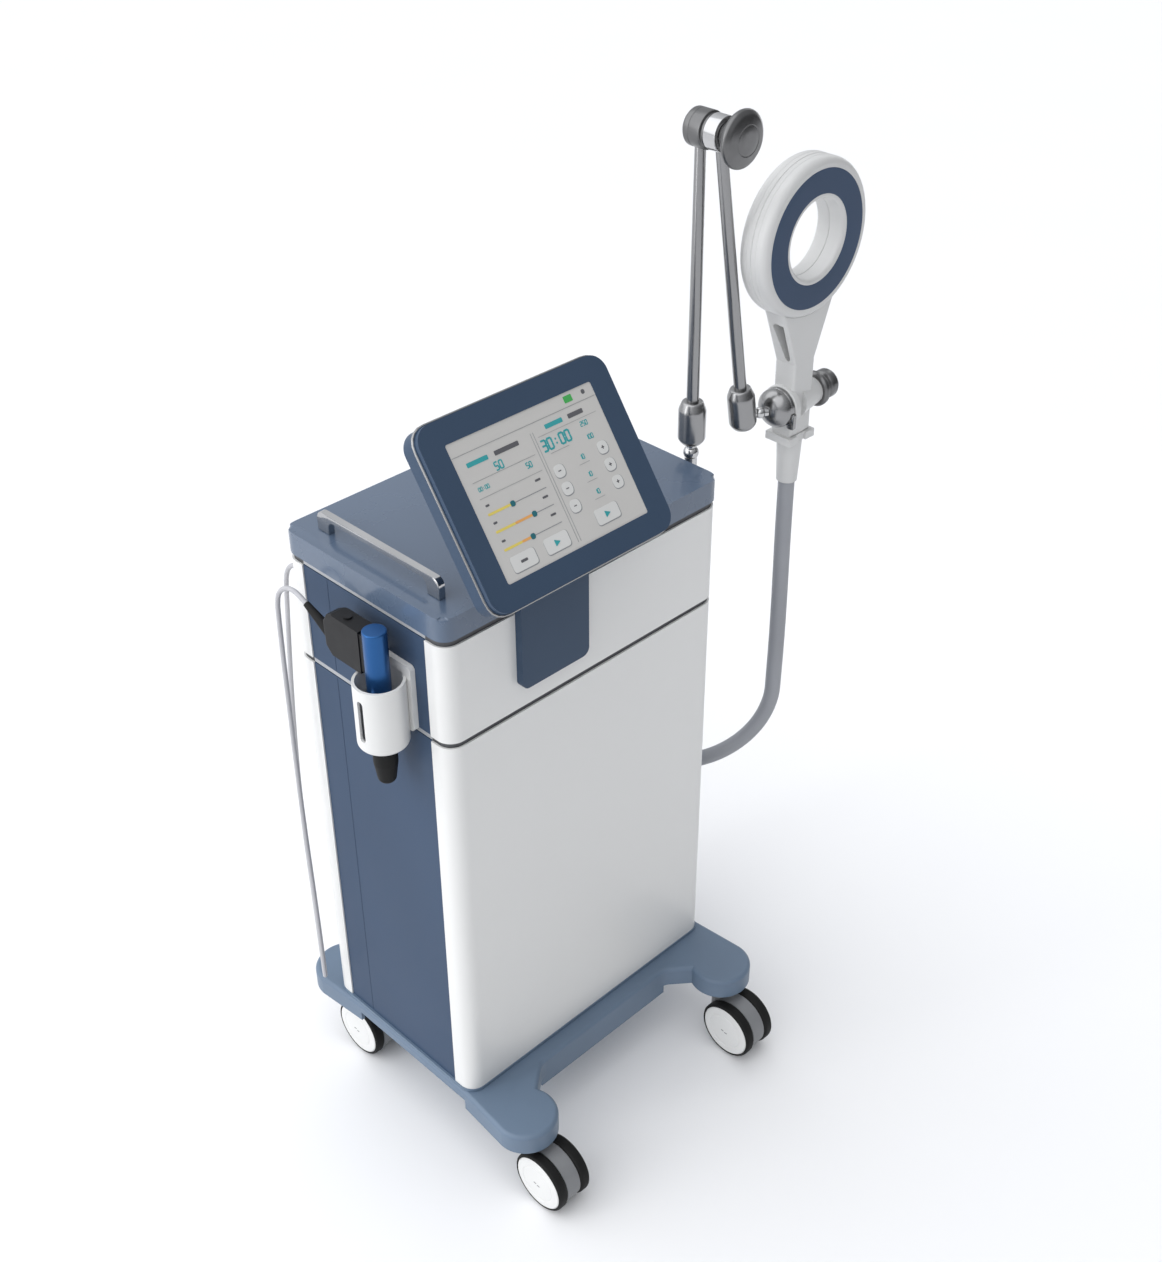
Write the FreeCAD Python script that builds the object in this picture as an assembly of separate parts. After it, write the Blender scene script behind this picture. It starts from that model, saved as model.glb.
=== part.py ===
import FreeCAD, Part
import math
import os

# Physiotherapy trolley: a cabinet on four twin-wheel castors with a tilting touch screen, a handpiece
# in a cup on its left end, and a ring applicator on a folding arm at its right end.
# Millimetres, +Z up, floor at Z = 0, origin under the middle of the cabinet, front towards -Y.

V = FreeCAD.Vector
X_AXIS = V(1, 0, 0)
Y_AXIS = V(0, 1, 0)
Z_AXIS = V(0, 0, 1)

# ---- cabinet ----
CABINET_WIDTH = 520.0
CABINET_DEPTH = 330.0
CORNER_RADIUS = 24.0
SKIN = 3.0
CABINET_BOTTOM = 156.0
CABINET_TOP = 980.0
SEAM_LOW = 818.5
SEAM_HIGH = 827.0
LID_BOTTOM = 989.0
LID_TOP = 1024.0
POST_WIDTH = 38.0
END_PANEL_RECESS = 2.0
HALF_W = CABINET_WIDTH / 2
HALF_D = CABINET_DEPTH / 2
END_FACE = HALF_W - END_PANEL_RECESS
SHELF_TOP = 501.0
FAN_Z = 400.0
FAN_SIZE = 120.0
FAN_BORE = 56.0
FAN_DEPTH = 25.0

# ---- base ----
BASE_TOP = 151.0
BASE_PLATE = 12.0
BASE_WALL = 6.0
LOBE_SKIRT_BOTTOM = 116.0
END_SKIRT_BOTTOM = 134.0
DEEP_SKIRT_BOTTOM = 99.0
BASE_FRONT = -193.0
BASE_REAR = 178.0
BASE_END = 264.0
LOBE_RADIUS = 50.0
LOBE_X = 222.0
FRONT_LOBE_Y = -244.0
REAR_LOBE_Y = 194.0
LOBE_ROOT_X = 140.0
LOBE_WAIST = 92.0
LOBE_LEAN = 25.0

# ---- castors ----
WHEEL_RADIUS = 50.0
WHEEL_TRAIL = 42.0
WHEEL_INNER = 14.0
WHEEL_OUTER = 33.0
RIM_RADIUS = 45.5
CASTOR_X = 215.0
CASTOR_FRONT_Y = -252.0
CASTOR_REAR_Y = 185.0
STEM_RADIUS = 6.0
AXLE_RADIUS = 4.0
RUNNING_GAP = 0.05

# ---- screen ----
SCREEN_WIDTH = 316.0
SCREEN_HEIGHT = 247.0
SCREEN_CORNER = 25.0
DISPLAY_WIDTH = 246.0
DISPLAY_HEIGHT = 184.5
SCREEN_LEAN = 35.4
SCREEN_CENTRE = V(-78.0, -172.0, 1156.0)
TILT_AXIS_Y = -171.0
TILT_AXIS_Z = 1062.0

# ---- handpiece and its cup ----
CUP_X = -294.0
CUP_Y = -70.0
CUP_RADIUS = 35.5
CUP_WALL = 4.0
CUP_LOW = 805.0
CUP_HIGH = 908.0
SLOT_LOW = 830.0
SLOT_HIGH = 886.0
SLOT_TURN = 184.0
SLOT_HALF = 5.0
GRIP_HALF = 13.5
BUTTON_Y = -16.0
RELIEF_LENGTH = 58.0
BARREL_RADIUS = 16.5
BARREL_TOP = 985.0
NOZZLE_RADIUS = 17.0
NOZZLE_TIP = 738.0
CABLE_DIAMETER = 7.0

# ---- arm ----
ARM_X = 281.0
ARM_Y = -88.0
STUD_RADIUS = 8.0
LOWER_BARREL_LOW = 1041.0
LOWER_BARREL_HIGH = 1108.0
ARM_BARREL_RADIUS = 20.0
ARM_BALL_Z = 1026.0
WRIST_CUP_RADIUS = 29.0
WRIST_CUP_DEPTH = 26.0
CUP_SEAT_END = 28.0
WRIST_CUP_FACE = 28.4
CLAMP_BOSS_END = 46.0
CLAMP_STEM_RADIUS = 4.0
ELBOW = V(275.0, -91.0, 1500.0)
ELBOW_AXIS = V(0, -1, 0)
DRUM_BACK = -14.0
DRUM_FRONT = 18.0
COLLAR_START = 23.5
COLLAR_LENGTH = 20.4
KNOB_START = 44.0
ROD_OFFSET = 33.0
UPPER_BARREL_END = V(341.5, -133.0, 1061.0)
UPPER_BARREL_LENGTH = 65.0
ELBOW_PIN_RADIUS = 5.0

# ---- applicator ----
HANDLE_X = 424.0
HANDLE_Y = -154.0
RING_RADIUS = 112.0
RING_HOLE = 56.0
RING_DEPTH = 48.0
RING_CENTRE_Z = 1331.0
SLEEVE_BOTTOM = 951.5
CLAMP_Z = 1082.0
CLAMP_AXIS = X_AXIS
NECK_HALF = 22.0
NECK_DEPTH = 37.0
NECK_FOOT = 1034.0
COLLAR_HEIGHT = 12.0
PAD_OUTER = 98.0
PAD_INNER = 63.0
HOSE_DIAMETER = 25.0

# ---- free routes, each a list of points chosen along the cord ----
HOSE_ROUTE = [
    (424, -154, 950),
    (424, -154.3, 864),
    (424.8, -155.5, 777),
    (425, -156.5, 700),
    (424.6, -156.8, 638),
    (424.2, -156.4, 589),
    (424, -156, 545),
    (410.7, -147.7, 502),
    (385.7, -132, 467),
    (352, -111, 444),
    (314.4, -87.5, 436),
    (287.5, -70.7, 436),
]
CABLE_ROUTE = [
    (-294, 76, 957.5),
    (-294, 94, 966),
    (-294.3, 114.7, 965),
    (-295, 132, 954),
    (-295.8, 142, 936),
    (-296.3, 143.5, 897),
    (-296, 146, 820),
    (-295.5, 147.5, 727),
    (-297, 146.5, 632),
    (-298.3, 144.5, 537),
    (-298, 143, 442),
    (-297.2, 142.5, 350),
    (-297, 142, 268),
    (-297, 142, 217.7),
    (-288.9, 155.4, 196),
    (-275.8, 177, 188),
    (-262.6, 198.6, 196),
    (-254.5, 212, 217.7),
    (-254.6, 212.3, 268),
    (-255.5, 212, 350),
    (-256, 213, 443),
    (-254, 214.5, 538),
    (-249.5, 216, 633),
    (-243, 217.5, 727),
    (-235, 220, 812),
    (-229.5, 221.5, 868),
    (-226.4, 221.5, 905),
    (-226, 211, 925.4),
    (-226.2, 192.6, 936),
    (-226, 171.5, 936),
]
GLAND = V(-226.0, HALF_D, 936.0)
HOSE_SOCKET = V(END_FACE, -56.0, 436.0)

# ---- power switch ----
ROCKER_X = 146.0
ROCKER_Y = HALF_D - 3
ROCKER_Z = 250.0
ROCKER_PIVOT_RADIUS = 1.5


# ---------------------------------------------------------------- building blocks
def box(x0, x1, y0, y1, z0, z1):
    return Part.makeBox(x1 - x0, y1 - y0, z1 - z0, V(x0, y0, z0))


def rod(start, direction, radius, length):
    return Part.makeCylinder(radius, length, start, direction)


def cone(start, direction, r0, r1, length):
    return Part.makeCone(r0, r1, length, start, direction)


def tube(start, direction, outer, inner, length):
    return rod(start, direction, outer, length).cut(rod(start, direction, inner, length))


def fused(first, *others):
    return first.multiFuse(list(others)).removeSplitter()


def rounded_wire(x0, x1, y0, y1, radius, z):
    """A rounded rectangle, as lines and quarter arcs."""
    c = radius * (1 - math.sqrt(0.5))
    corners = [
        ((x1 - radius, y0), (x1 - c, y0 + c), (x1, y0 + radius)),
        ((x1, y1 - radius), (x1 - c, y1 - c), (x1 - radius, y1)),
        ((x0 + radius, y1), (x0 + c, y1 - c), (x0, y1 - radius)),
        ((x0, y0 + radius), (x0 + c, y0 + c), (x0 + radius, y0)),
    ]
    edges = []
    for i, (start, middle, end) in enumerate(corners):
        following = corners[(i + 1) % 4][0]
        edges.append(Part.Arc(V(*start, z), V(*middle, z), V(*end, z)).toShape())
        edges.append(Part.LineSegment(V(*end, z), V(*following, z)).toShape())
    return Part.Wire(edges)


def rounded_block(x0, x1, y0, y1, radius, z0, z1):
    return Part.Face(rounded_wire(x0, x1, y0, y1, radius, z0)).extrude(V(0, 0, z1 - z0))


def cabinet_block(inset, z0, z1):
    """The cabinet's plan, moved in by inset, from z0 to z1."""
    return rounded_block(
        -HALF_W + inset, HALF_W - inset, -HALF_D + inset, HALF_D - inset, CORNER_RADIUS - inset, z0, z1
    )


def filleted(shape, radius, chosen):
    """Rounds the edges that chosen(edge) picks."""
    return shape.makeFillet(radius, [edge for edge in shape.Edges if chosen(edge)])


def at_height(z):
    return lambda edge: abs(edge.BoundBox.ZMin - z) < 1e-4 and abs(edge.BoundBox.ZMax - z) < 1e-4


def polygon_plate(points, place, thickness):
    """Extrudes a closed polygon; place(a, b) gives the 3-D point and thickness is a vector."""
    corners = [place(a, b) for a, b in points]
    return Part.Face(Part.makePolygon(corners + [corners[0]])).extrude(thickness)


def revolved(profile, start, direction):
    """Turns (radius, distance) points about the axis that leaves start along direction."""
    points = [V(r, 0, h) for r, h in profile]
    face = Part.Face(Part.makePolygon(points + [points[0]]))
    solid = face.revolve(V(0, 0, 0), Z_AXIS, 360)
    solid.Placement = FreeCAD.Placement(start, FreeCAD.Rotation(Z_AXIS, direction))
    return solid


def cord_tube(name, route, diameter):
    """Straight runs joined by the largest tangent arcs that the runs allow, swept by a disc."""
    points = [V(*p) for p in route]
    radii = []
    edges = []
    last = points[0]
    for before, corner, after in zip(points, points[1:], points[2:]):
        run_in = corner - before
        run_out = after - corner
        half_turn = run_in.getAngle(run_out) / 2
        setback = 0.45 * min(run_in.Length, run_out.Length)
        radii.append(setback / math.tan(half_turn))
        start = corner - run_in.normalize() * setback
        end = corner + run_out.normalize() * setback
        bisector = (end + start) * 0.5 - corner
        to_middle = radii[-1] / math.cos(half_turn) - radii[-1]
        middle = corner + bisector.normalize() * to_middle
        edges.append(Part.LineSegment(last, start).toShape())
        edges.append(Part.Arc(start, middle, end).toShape())
        last = end
    edges.append(Part.LineSegment(last, points[-1]).toShape())
    path = Part.Wire(edges)
    disc = Part.Wire(Part.Circle(points[0], points[1] - points[0], diameter / 2).toShape())
    solid = path.makePipeShell([disc], True, False)
    expected = path.Length * math.pi * diameter**2 / 4
    print(name, "length", round(path.Length), "volume ratio", round(solid.Volume / expected, 4))
    print(name, "radii", [round(r) for r in radii])
    return solid


def save(name, *solids):
    shape = solids[0] if len(solids) == 1 else Part.makeCompound(list(solids))
    shape.exportStep(f"parts/{name}.step")


# ---------------------------------------------------------------- cabinet
def wrap_cover(z0, z1, front):
    """One face of the cabinet with both its rounded corners, wrapped a little onto the ends."""
    skin = cabinet_block(0, z0, z1).cut(cabinet_block(SKIN, z0, z1))
    reach = HALF_D - POST_WIDTH
    far = HALF_D + 10
    keep = (-far, -reach) if front else (reach, far)
    return skin.common(box(-HALF_W - 10, HALF_W + 10, *keep, z0, z1))


def rear_holes(z0, z1):
    """Vent slots, the fan grille's opening, the inlet's cut-out and the gland's hole."""
    holes = []
    for row in range(7):
        z = 560 + row * 22
        holes.append(box(-120, 120, HALF_D - 8, HALF_D + 2, z, z + 7))
    holes.append(box(118.5, 173.5, HALF_D - 8, HALF_D + 2, 196.5, 267.5))
    holes.append(rod(V(GLAND.x, HALF_D - 8, GLAND.z), Y_AXIS, 6.2, 10))
    holes.append(rod(V(0, HALF_D - 8, FAN_Z), Y_AXIS, FAN_BORE, 10))
    return [hole for hole in holes if hole.BoundBox.ZMin > z0 and hole.BoundBox.ZMax < z1]


def covers():
    """Front and rear wraps, and two flat panels on each end, split by the seam at mid height."""
    levels = (("lower", CABINET_BOTTOM, SEAM_LOW), ("upper", SEAM_HIGH, CABINET_TOP))
    rears = []
    for level, z0, z1 in levels:
        save(f"front_cover_{level}", wrap_cover(z0, z1, True))
        rear = wrap_cover(z0, z1, False)
        for hole in rear_holes(z0, z1):
            rear = rear.cut(hole)
        rears.append(rear)
    save("rear_covers", *rears)
    edge = HALF_D - POST_WIDTH - 0.4
    for side, sign in (("left", -1), ("right", 1)):
        x0, x1 = sorted((sign * END_FACE, sign * (END_FACE - SKIN)))
        panels = [box(x0, x1, -edge, edge, z0, z1) for _, z0, z1 in levels]
        if sign > 0:
            panels[0] = panels[0].cut(rod(HOSE_SOCKET - V(SKIN, 0, 0), X_AXIS, 14.2, SKIN))
        save(f"{side}_end_panels", *panels)


def seam_bands():
    spans = ((SEAM_LOW, SEAM_HIGH), (CABINET_TOP, LID_BOTTOM))
    save("seam_bands", *[cabinet_block(3.5, z0, z1).cut(cabinet_block(20, z0, z1)) for z0, z1 in spans])


def inner_frame():
    """Four posts joined by rails, under the covers, standing on the base."""
    x = HALF_W - 24
    y = HALF_D - 24
    bar = 15
    pieces = []
    for sx in (-1, 1):
        for sy in (-1, 1):
            x0, x1 = sorted((sx * x, sx * (x - bar)))
            y0, y1 = sorted((sy * y, sy * (y - bar)))
            pieces.append(box(x0, x1, y0, y1, BASE_TOP, LID_BOTTOM))
    for z in (CABINET_BOTTOM, 480, SEAM_LOW, LID_BOTTOM - bar):
        for side in (-1, 1):
            y0, y1 = sorted((side * y, side * (y - bar)))
            pieces.append(box(-x + bar, x - bar, y0, y1, z, z + bar))
            x0, x1 = sorted((side * x, side * (x - bar)))
            pieces.append(box(x0, x1, -y + bar, y - bar, z, z + bar))
    shelf = box(-x, x, -y + bar, y - bar, SHELF_TOP - 3, SHELF_TOP)
    save("inner_frame", fused(*pieces, shelf))


def lid():
    outer = cabinet_block(0, LID_BOTTOM, LID_TOP)
    outer = filleted(outer, 6, at_height(LID_TOP))
    save("lid", outer.cut(cabinet_block(6, LID_BOTTOM, LID_TOP - 6)))


def lid_handle():
    """A flat chrome bow along the lid's left edge on two wide feet."""
    half = 125.0
    top = LID_TOP + 30
    bar = 8.5
    foot = 24.0
    x0, x1 = -229.0, -219.0
    outer = polygon_plate(
        [(-half, LID_TOP), (half, LID_TOP), (half, top), (-half, top)],
        lambda y, z: V(x0, y, z),
        V(x1 - x0, 0, 0),
    )
    outer = filleted(outer, 14, lambda e: at_height(top)(e) and e.BoundBox.XLength > 5)
    gap = box(x0, x1, -half + foot, half - foot, LID_TOP, top - bar)
    save("lid_handle", outer.cut(gap))


# ---------------------------------------------------------------- base and castors
def lobe_points(sx, sy, inset, z):
    """One corner of the base's plan: the lobe's root, inner end, tip and outer end, and the waist."""
    r = LOBE_RADIUS - inset
    lobe_y, edge_y = (FRONT_LOBE_Y, BASE_FRONT) if sy < 0 else (REAR_LOBE_Y, BASE_REAR)
    lean = math.radians(LOBE_LEAN)
    return [
        V(sx * (LOBE_ROOT_X + inset), edge_y - sy * inset, z),
        V(sx * (LOBE_X - r * math.cos(lean)), lobe_y - sy * r * math.sin(lean), z),
        V(sx * LOBE_X, lobe_y + sy * r, z),
        V(sx * (LOBE_X + r), lobe_y, z),
        V(sx * (BASE_END - inset), lobe_y - sy * LOBE_WAIST, z),
    ]


def base_outline(inset, z):
    """The base's plan: straight between the lobes, a round lobe at each corner."""
    corners = [
        lobe_points(1, -1, inset, z),
        lobe_points(1, 1, inset, z)[::-1],
        lobe_points(-1, 1, inset, z),
        lobe_points(-1, -1, inset, z)[::-1],
    ]
    edges = []
    for i, (first, start, middle, end, last) in enumerate(corners):
        following = corners[(i + 1) % 4][0]
        edges.append(Part.LineSegment(first, start).toShape())
        edges.append(Part.Arc(start, middle, end).toShape())
        edges.append(Part.LineSegment(end, last).toShape())
        edges.append(Part.LineSegment(last, following).toShape())
    return Part.Wire(edges)


def base_moulding():
    """A plate with a skirt all round, deep at the front and rear, high between the end castors."""
    plan = Part.Face(base_outline(0, LOBE_SKIRT_BOTTOM))
    body = plan.extrude(V(0, 0, BASE_TOP - LOBE_SKIRT_BOTTOM))
    vertical = [e for e in body.Edges if abs(e.BoundBox.ZLength - (BASE_TOP - LOBE_SKIRT_BOTTOM)) < 1e-4]
    roots = [e for e in vertical if abs(abs(e.BoundBox.XMin) - LOBE_ROOT_X) < 1]
    body = body.makeFillet(28, roots)
    body = filleted(body, 7, at_height(BASE_TOP))
    hollow = Part.Face(base_outline(BASE_WALL, LOBE_SKIRT_BOTTOM))
    body = body.cut(hollow.extrude(V(0, 0, BASE_TOP - BASE_PLATE - LOBE_SKIRT_BOTTOM)))
    notch_front = FRONT_LOBE_Y + LOBE_WAIST
    notch_rear = REAR_LOBE_Y - LOBE_WAIST
    body = body.cut(box(-300, 300, notch_front, notch_rear, LOBE_SKIRT_BOTTOM - 1, END_SKIRT_BOTTOM))
    roof = BASE_TOP - BASE_PLATE
    skirts = [
        box(-LOBE_ROOT_X, LOBE_ROOT_X, BASE_FRONT, BASE_FRONT + BASE_WALL, DEEP_SKIRT_BOTTOM, roof),
        box(-LOBE_ROOT_X, LOBE_ROOT_X, BASE_REAR - BASE_WALL, BASE_REAR, DEEP_SKIRT_BOTTOM, roof),
    ]
    plinth = cabinet_block(-1.5, BASE_TOP, CABINET_BOTTOM).cut(cabinet_block(8, BASE_TOP, CABINET_BOTTOM))
    boss_height = roof - LOBE_SKIRT_BOTTOM
    bosses = [rod(V(x, y, LOBE_SKIRT_BOTTOM), Z_AXIS, 17, boss_height) for x, y in castor_places()]
    body = fused(body, plinth, *skirts, *bosses)
    for x, y in castor_places():
        body = body.cut(rod(V(x, y, LOBE_SKIRT_BOTTOM), Z_AXIS, STEM_RADIUS + RUNNING_GAP, 24))
    save("base_moulding", body)


def castor_places():
    return [
        (sx * CASTOR_X, y) for y in (CASTOR_FRONT_Y, CASTOR_REAR_Y) for sx in (-1, 1)
    ]


def castor(name, x, y):
    """A twin-wheel castor: a housing between two wheels that trail behind the stem."""
    hub = V(x, y - WHEEL_TRAIL, WHEEL_RADIUS)
    half = WHEEL_INNER - 1
    housing = rod(hub - V(half, 0, 0), X_AXIS, 47, 2 * half)
    neck = rod(V(x, y, WHEEL_RADIUS), Z_AXIS, half - 0.5, 53)
    collar = rod(V(x, y, 102), Z_AXIS, 21, 4)
    stem = rod(V(x, y, 104), Z_AXIS, STEM_RADIUS, 34)
    fork = fused(housing, neck, collar, stem)
    fork = fork.cut(rod(hub - V(half + 1, 0, 0), X_AXIS, AXLE_RADIUS + RUNNING_GAP, 2 * half + 2))
    save(f"castor_{name}_housing", fork)
    width = WHEEL_OUTER - WHEEL_INNER
    discs = []
    tyres = []
    for sign in (-1, 1):
        inner_face = hub + V(sign * WHEEL_INNER, 0, 0)
        out = V(sign, 0, 0)
        disc = [(0, 0), (RIM_RADIUS, 0), (RIM_RADIUS, width - 1), (RIM_RADIUS - 3, width), (0, width + 1.5)]
        discs.append(revolved(disc, inner_face, out))
        tread = [
            (RIM_RADIUS, 0),
            (WHEEL_RADIUS - 3, 0),
            (WHEEL_RADIUS, 3),
            (WHEEL_RADIUS, width - 4),
            (WHEEL_RADIUS - 3, width - 1),
            (RIM_RADIUS, width - 1),
        ]
        tyres.append(revolved(tread, inner_face, out))
    axle = rod(hub - V(WHEEL_INNER, 0, 0), X_AXIS, AXLE_RADIUS, 2 * WHEEL_INNER)
    save(f"castor_{name}_wheels", fused(axle, *discs), *tyres)


def castors():
    names = ("front_left", "front_right", "rear_left", "rear_right")
    for name, (x, y) in zip(names, castor_places()):
        castor(name, x, y)


# ---------------------------------------------------------------- screen
def screen_place(shape):
    """Moves a shape from the screen's own frame, face at Y = 0, to its leaning place."""
    lean = FreeCAD.Placement(SCREEN_CENTRE, FreeCAD.Rotation(X_AXIS, -SCREEN_LEAN))
    shape.Placement = lean.multiply(shape.Placement)
    return shape


def screen_block(width, height, radius, y0, y1):
    flat = rounded_block(-width / 2, width / 2, -height / 2, height / 2, radius, 0, y1 - y0)
    flat.Placement = FreeCAD.Placement(V(0, y0, 0), FreeCAD.Rotation(X_AXIS, -90))
    return flat


def screen():
    w, h = SCREEN_WIDTH, SCREEN_HEIGHT
    frame = screen_block(w, h, SCREEN_CORNER, 0, 7)
    frame = frame.cut(screen_block(DISPLAY_WIDTH, DISPLAY_HEIGHT, 3, -1, 8))
    save("screen_bezel", screen_place(frame))
    save("screen_glass", screen_place(screen_block(DISPLAY_WIDTH, DISPLAY_HEIGHT, 3, 1, 4)))
    rim = screen_block(w + 2, h + 2, SCREEN_CORNER + 1, 7, 11)
    rim = rim.cut(screen_block(w - 12, h - 12, SCREEN_CORNER - 6, 6, 12))
    back = screen_block(w - 1, h - 1, SCREEN_CORNER - 0.5, 11, 36)
    back = back.cut(screen_block(w - 9, h - 9, SCREEN_CORNER - 4.5, 10, 32))
    save("screen_back", screen_place(fused(rim, back)))
    panel = screen_block(DISPLAY_WIDTH + 10, DISPLAY_HEIGHT + 10, 4, 7.5, 18)
    save("screen_panel", screen_place(panel))


def screen_hinge():
    """The moving knuckle and its foot, and the pin that it turns the screen on."""
    axis = V(-94.0, TILT_AXIS_Y, TILT_AXIS_Z)
    length = 33.0
    knuckle = rod(axis, X_AXIS, 12, length)
    foot_plate = screen_place(screen_block(90, 60, 8, 36, 40))
    foot_plate.translate(local_up() * -54)
    back_plane = screen_place(screen_block(SCREEN_WIDTH * 2, SCREEN_HEIGHT * 3, 10, -200, 36))
    hinge = fused(knuckle, foot_plate, hinge_web(axis, length)).cut(back_plane)
    pin = rod(V(-116.0, TILT_AXIS_Y, TILT_AXIS_Z), X_AXIS, 5, 77)
    save("screen_hinge", fused(hinge, pin))


def local_up():
    lean = math.radians(SCREEN_LEAN)
    return V(0, math.sin(lean), math.cos(lean))


def hinge_web(axis, length):
    """The short wall from the knuckle to the foot plate, square to the screen's back."""
    lean = math.radians(SCREEN_LEAN)
    out = V(0, -math.cos(lean), math.sin(lean))
    up = local_up()
    start = V(axis.x + 3, TILT_AXIS_Y, TILT_AXIS_Z)
    return polygon_plate(
        [(-10, 0), (-10, 17), (22, 17), (10, 0)],
        lambda a, b: start + up * a + out * b,
        V(length - 6, 0, 0),
    )


def screen_bracket():
    """The fixed plate on the cabinet's front, with two ears that hold the tilt pin."""
    x0, x1 = -139.0, -16.0
    plate = polygon_plate(
        [(x0, 863), (x1, 863), (x1, 1036), (x0, 1036)],
        lambda x, z: V(x, -HALF_D - 12, z),
        V(0, 12, 0),
    )
    plate = filleted(plate, 12, lambda e: at_height(863)(e) and e.BoundBox.YLength > 5)
    ears = []
    for low, high in ((-112.0, -94.6), (-60.4, -43.0)):
        ears.append(box(low, high, -HALF_D - 12, -HALF_D, 1030, TILT_AXIS_Z))
        ears.append(rod(V(low, TILT_AXIS_Y, TILT_AXIS_Z), X_AXIS, 12, high - low))
    bracket = fused(plate, *ears)
    bracket = bracket.cut(rod(V(-130, TILT_AXIS_Y, TILT_AXIS_Z), X_AXIS, 5 + RUNNING_GAP, 100))
    save("screen_bracket", bracket)


# ---------------------------------------------------------------- handpiece
def cup_holder():
    centre = V(CUP_X, CUP_Y, CUP_LOW)
    height = CUP_HIGH - CUP_LOW
    cup = rod(centre, Z_AXIS, CUP_RADIUS, height)
    cup = filleted(cup, 8, at_height(CUP_LOW))
    plate = box(-END_FACE - 8, -END_FACE, -101, -40, 822, 926)
    plate = filleted(plate, 7, lambda e: e.BoundBox.XLength > 7)
    web = box(CUP_X + 20, -END_FACE - 4, CUP_Y - 14, CUP_Y + 14, 830, CUP_HIGH)
    holder = fused(cup, plate, web)
    holder = holder.cut(rod(centre + V(0, 0, CUP_WALL), Z_AXIS, CUP_RADIUS - CUP_WALL, height))
    holder = holder.cut(rod(centre, Z_AXIS, NOZZLE_RADIUS + 2, height))
    slot = box(22, 42, -SLOT_HALF, SLOT_HALF, SLOT_LOW, SLOT_HIGH)
    ends = [rod(V(22, 0, z), X_AXIS, SLOT_HALF, 20) for z in (SLOT_LOW, SLOT_HIGH)]
    slot = fused(slot, *ends)
    slot.Placement = FreeCAD.Placement(V(CUP_X, CUP_Y, 0), FreeCAD.Rotation(Z_AXIS, SLOT_TURN))
    save("cup_holder", holder.cut(slot))


def handpiece():
    foot = V(CUP_X, CUP_Y, 0)
    barrel = rod(foot + V(0, 0, 801), Z_AXIS, BARREL_RADIUS, BARREL_TOP - 801)
    save("handpiece_barrel", filleted(barrel, 2, at_height(BARREL_TOP)))
    nozzle = [
        (0, NOZZLE_TIP),
        (7, NOZZLE_TIP),
        (10.5, NOZZLE_TIP + 3),
        (12, NOZZLE_TIP + 9),
        (14, 750),
        (16, 764),
        (NOZZLE_RADIUS, 772),
        (NOZZLE_RADIUS, 801),
        (0, 801),
    ]
    save("handpiece_nozzle", revolved(nozzle, foot, Z_AXIS))
    outline = [(-52, 914), (12, 914), (22, 924), (24, 962), (16, 974), (6, 979), (-52, 979)]
    grip = polygon_plate(outline, lambda y, z: V(CUP_X - GRIP_HALF, y, z), V(2 * GRIP_HALF, 0, 0))
    grip = filleted(grip, 4, lambda e: e.BoundBox.XLength < 0.01 and e.BoundBox.YMin > -51)
    grip = grip.cut(rod(foot + V(0, 0, 880), Z_AXIS, BARREL_RADIUS, 110))
    neck = box(CUP_X - 12, CUP_X + 12, CUP_Y, -50, 918, 976)
    neck = neck.cut(rod(foot + V(0, 0, 880), Z_AXIS, BARREL_RADIUS, 110))
    grip = fused(grip, neck)
    grip = grip.cut(rod(V(CUP_X, BUTTON_Y, 970), Z_AXIS, 6.1, 20))
    save("handpiece_grip", grip)
    save("handpiece_button", rod(V(CUP_X, BUTTON_Y, 972), Z_AXIS, 6, 9.5))
    axis = strain_axis()
    tip = V(*CABLE_ROUTE[0])
    save("handpiece_strain_relief", cone(tip - axis * (RELIEF_LENGTH + 0.5), axis, 8.5, 4.6, RELIEF_LENGTH))


def strain_axis():
    return (V(*CABLE_ROUTE[1]) - V(*CABLE_ROUTE[0])).normalize()


def cable_gland():
    """A low round gland that the cable goes into on the rear cover."""
    nut = rod(GLAND, Y_AXIS, 9.5, 4.5)
    sleeve = cone(GLAND + V(0, 4.5, 0), Y_AXIS, 7, 5, CABLE_ROUTE[-1][1] - HALF_D - 4.5)
    shank = rod(GLAND - V(0, 8, 0), Y_AXIS, 6, 8)
    save("cable_gland", fused(nut, sleeve, shank))


# ---------------------------------------------------------------- arm
def arm_bracket():
    """The block on the right end that the arm's stud turns in."""
    block = rounded_block(END_FACE, 299, ARM_Y - 23, ARM_Y + 23, 6, 925, 985)
    save("arm_bracket", block.cut(rod(V(ARM_X, ARM_Y, 935), Z_AXIS, STUD_RADIUS + RUNNING_GAP, 60)))


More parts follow.
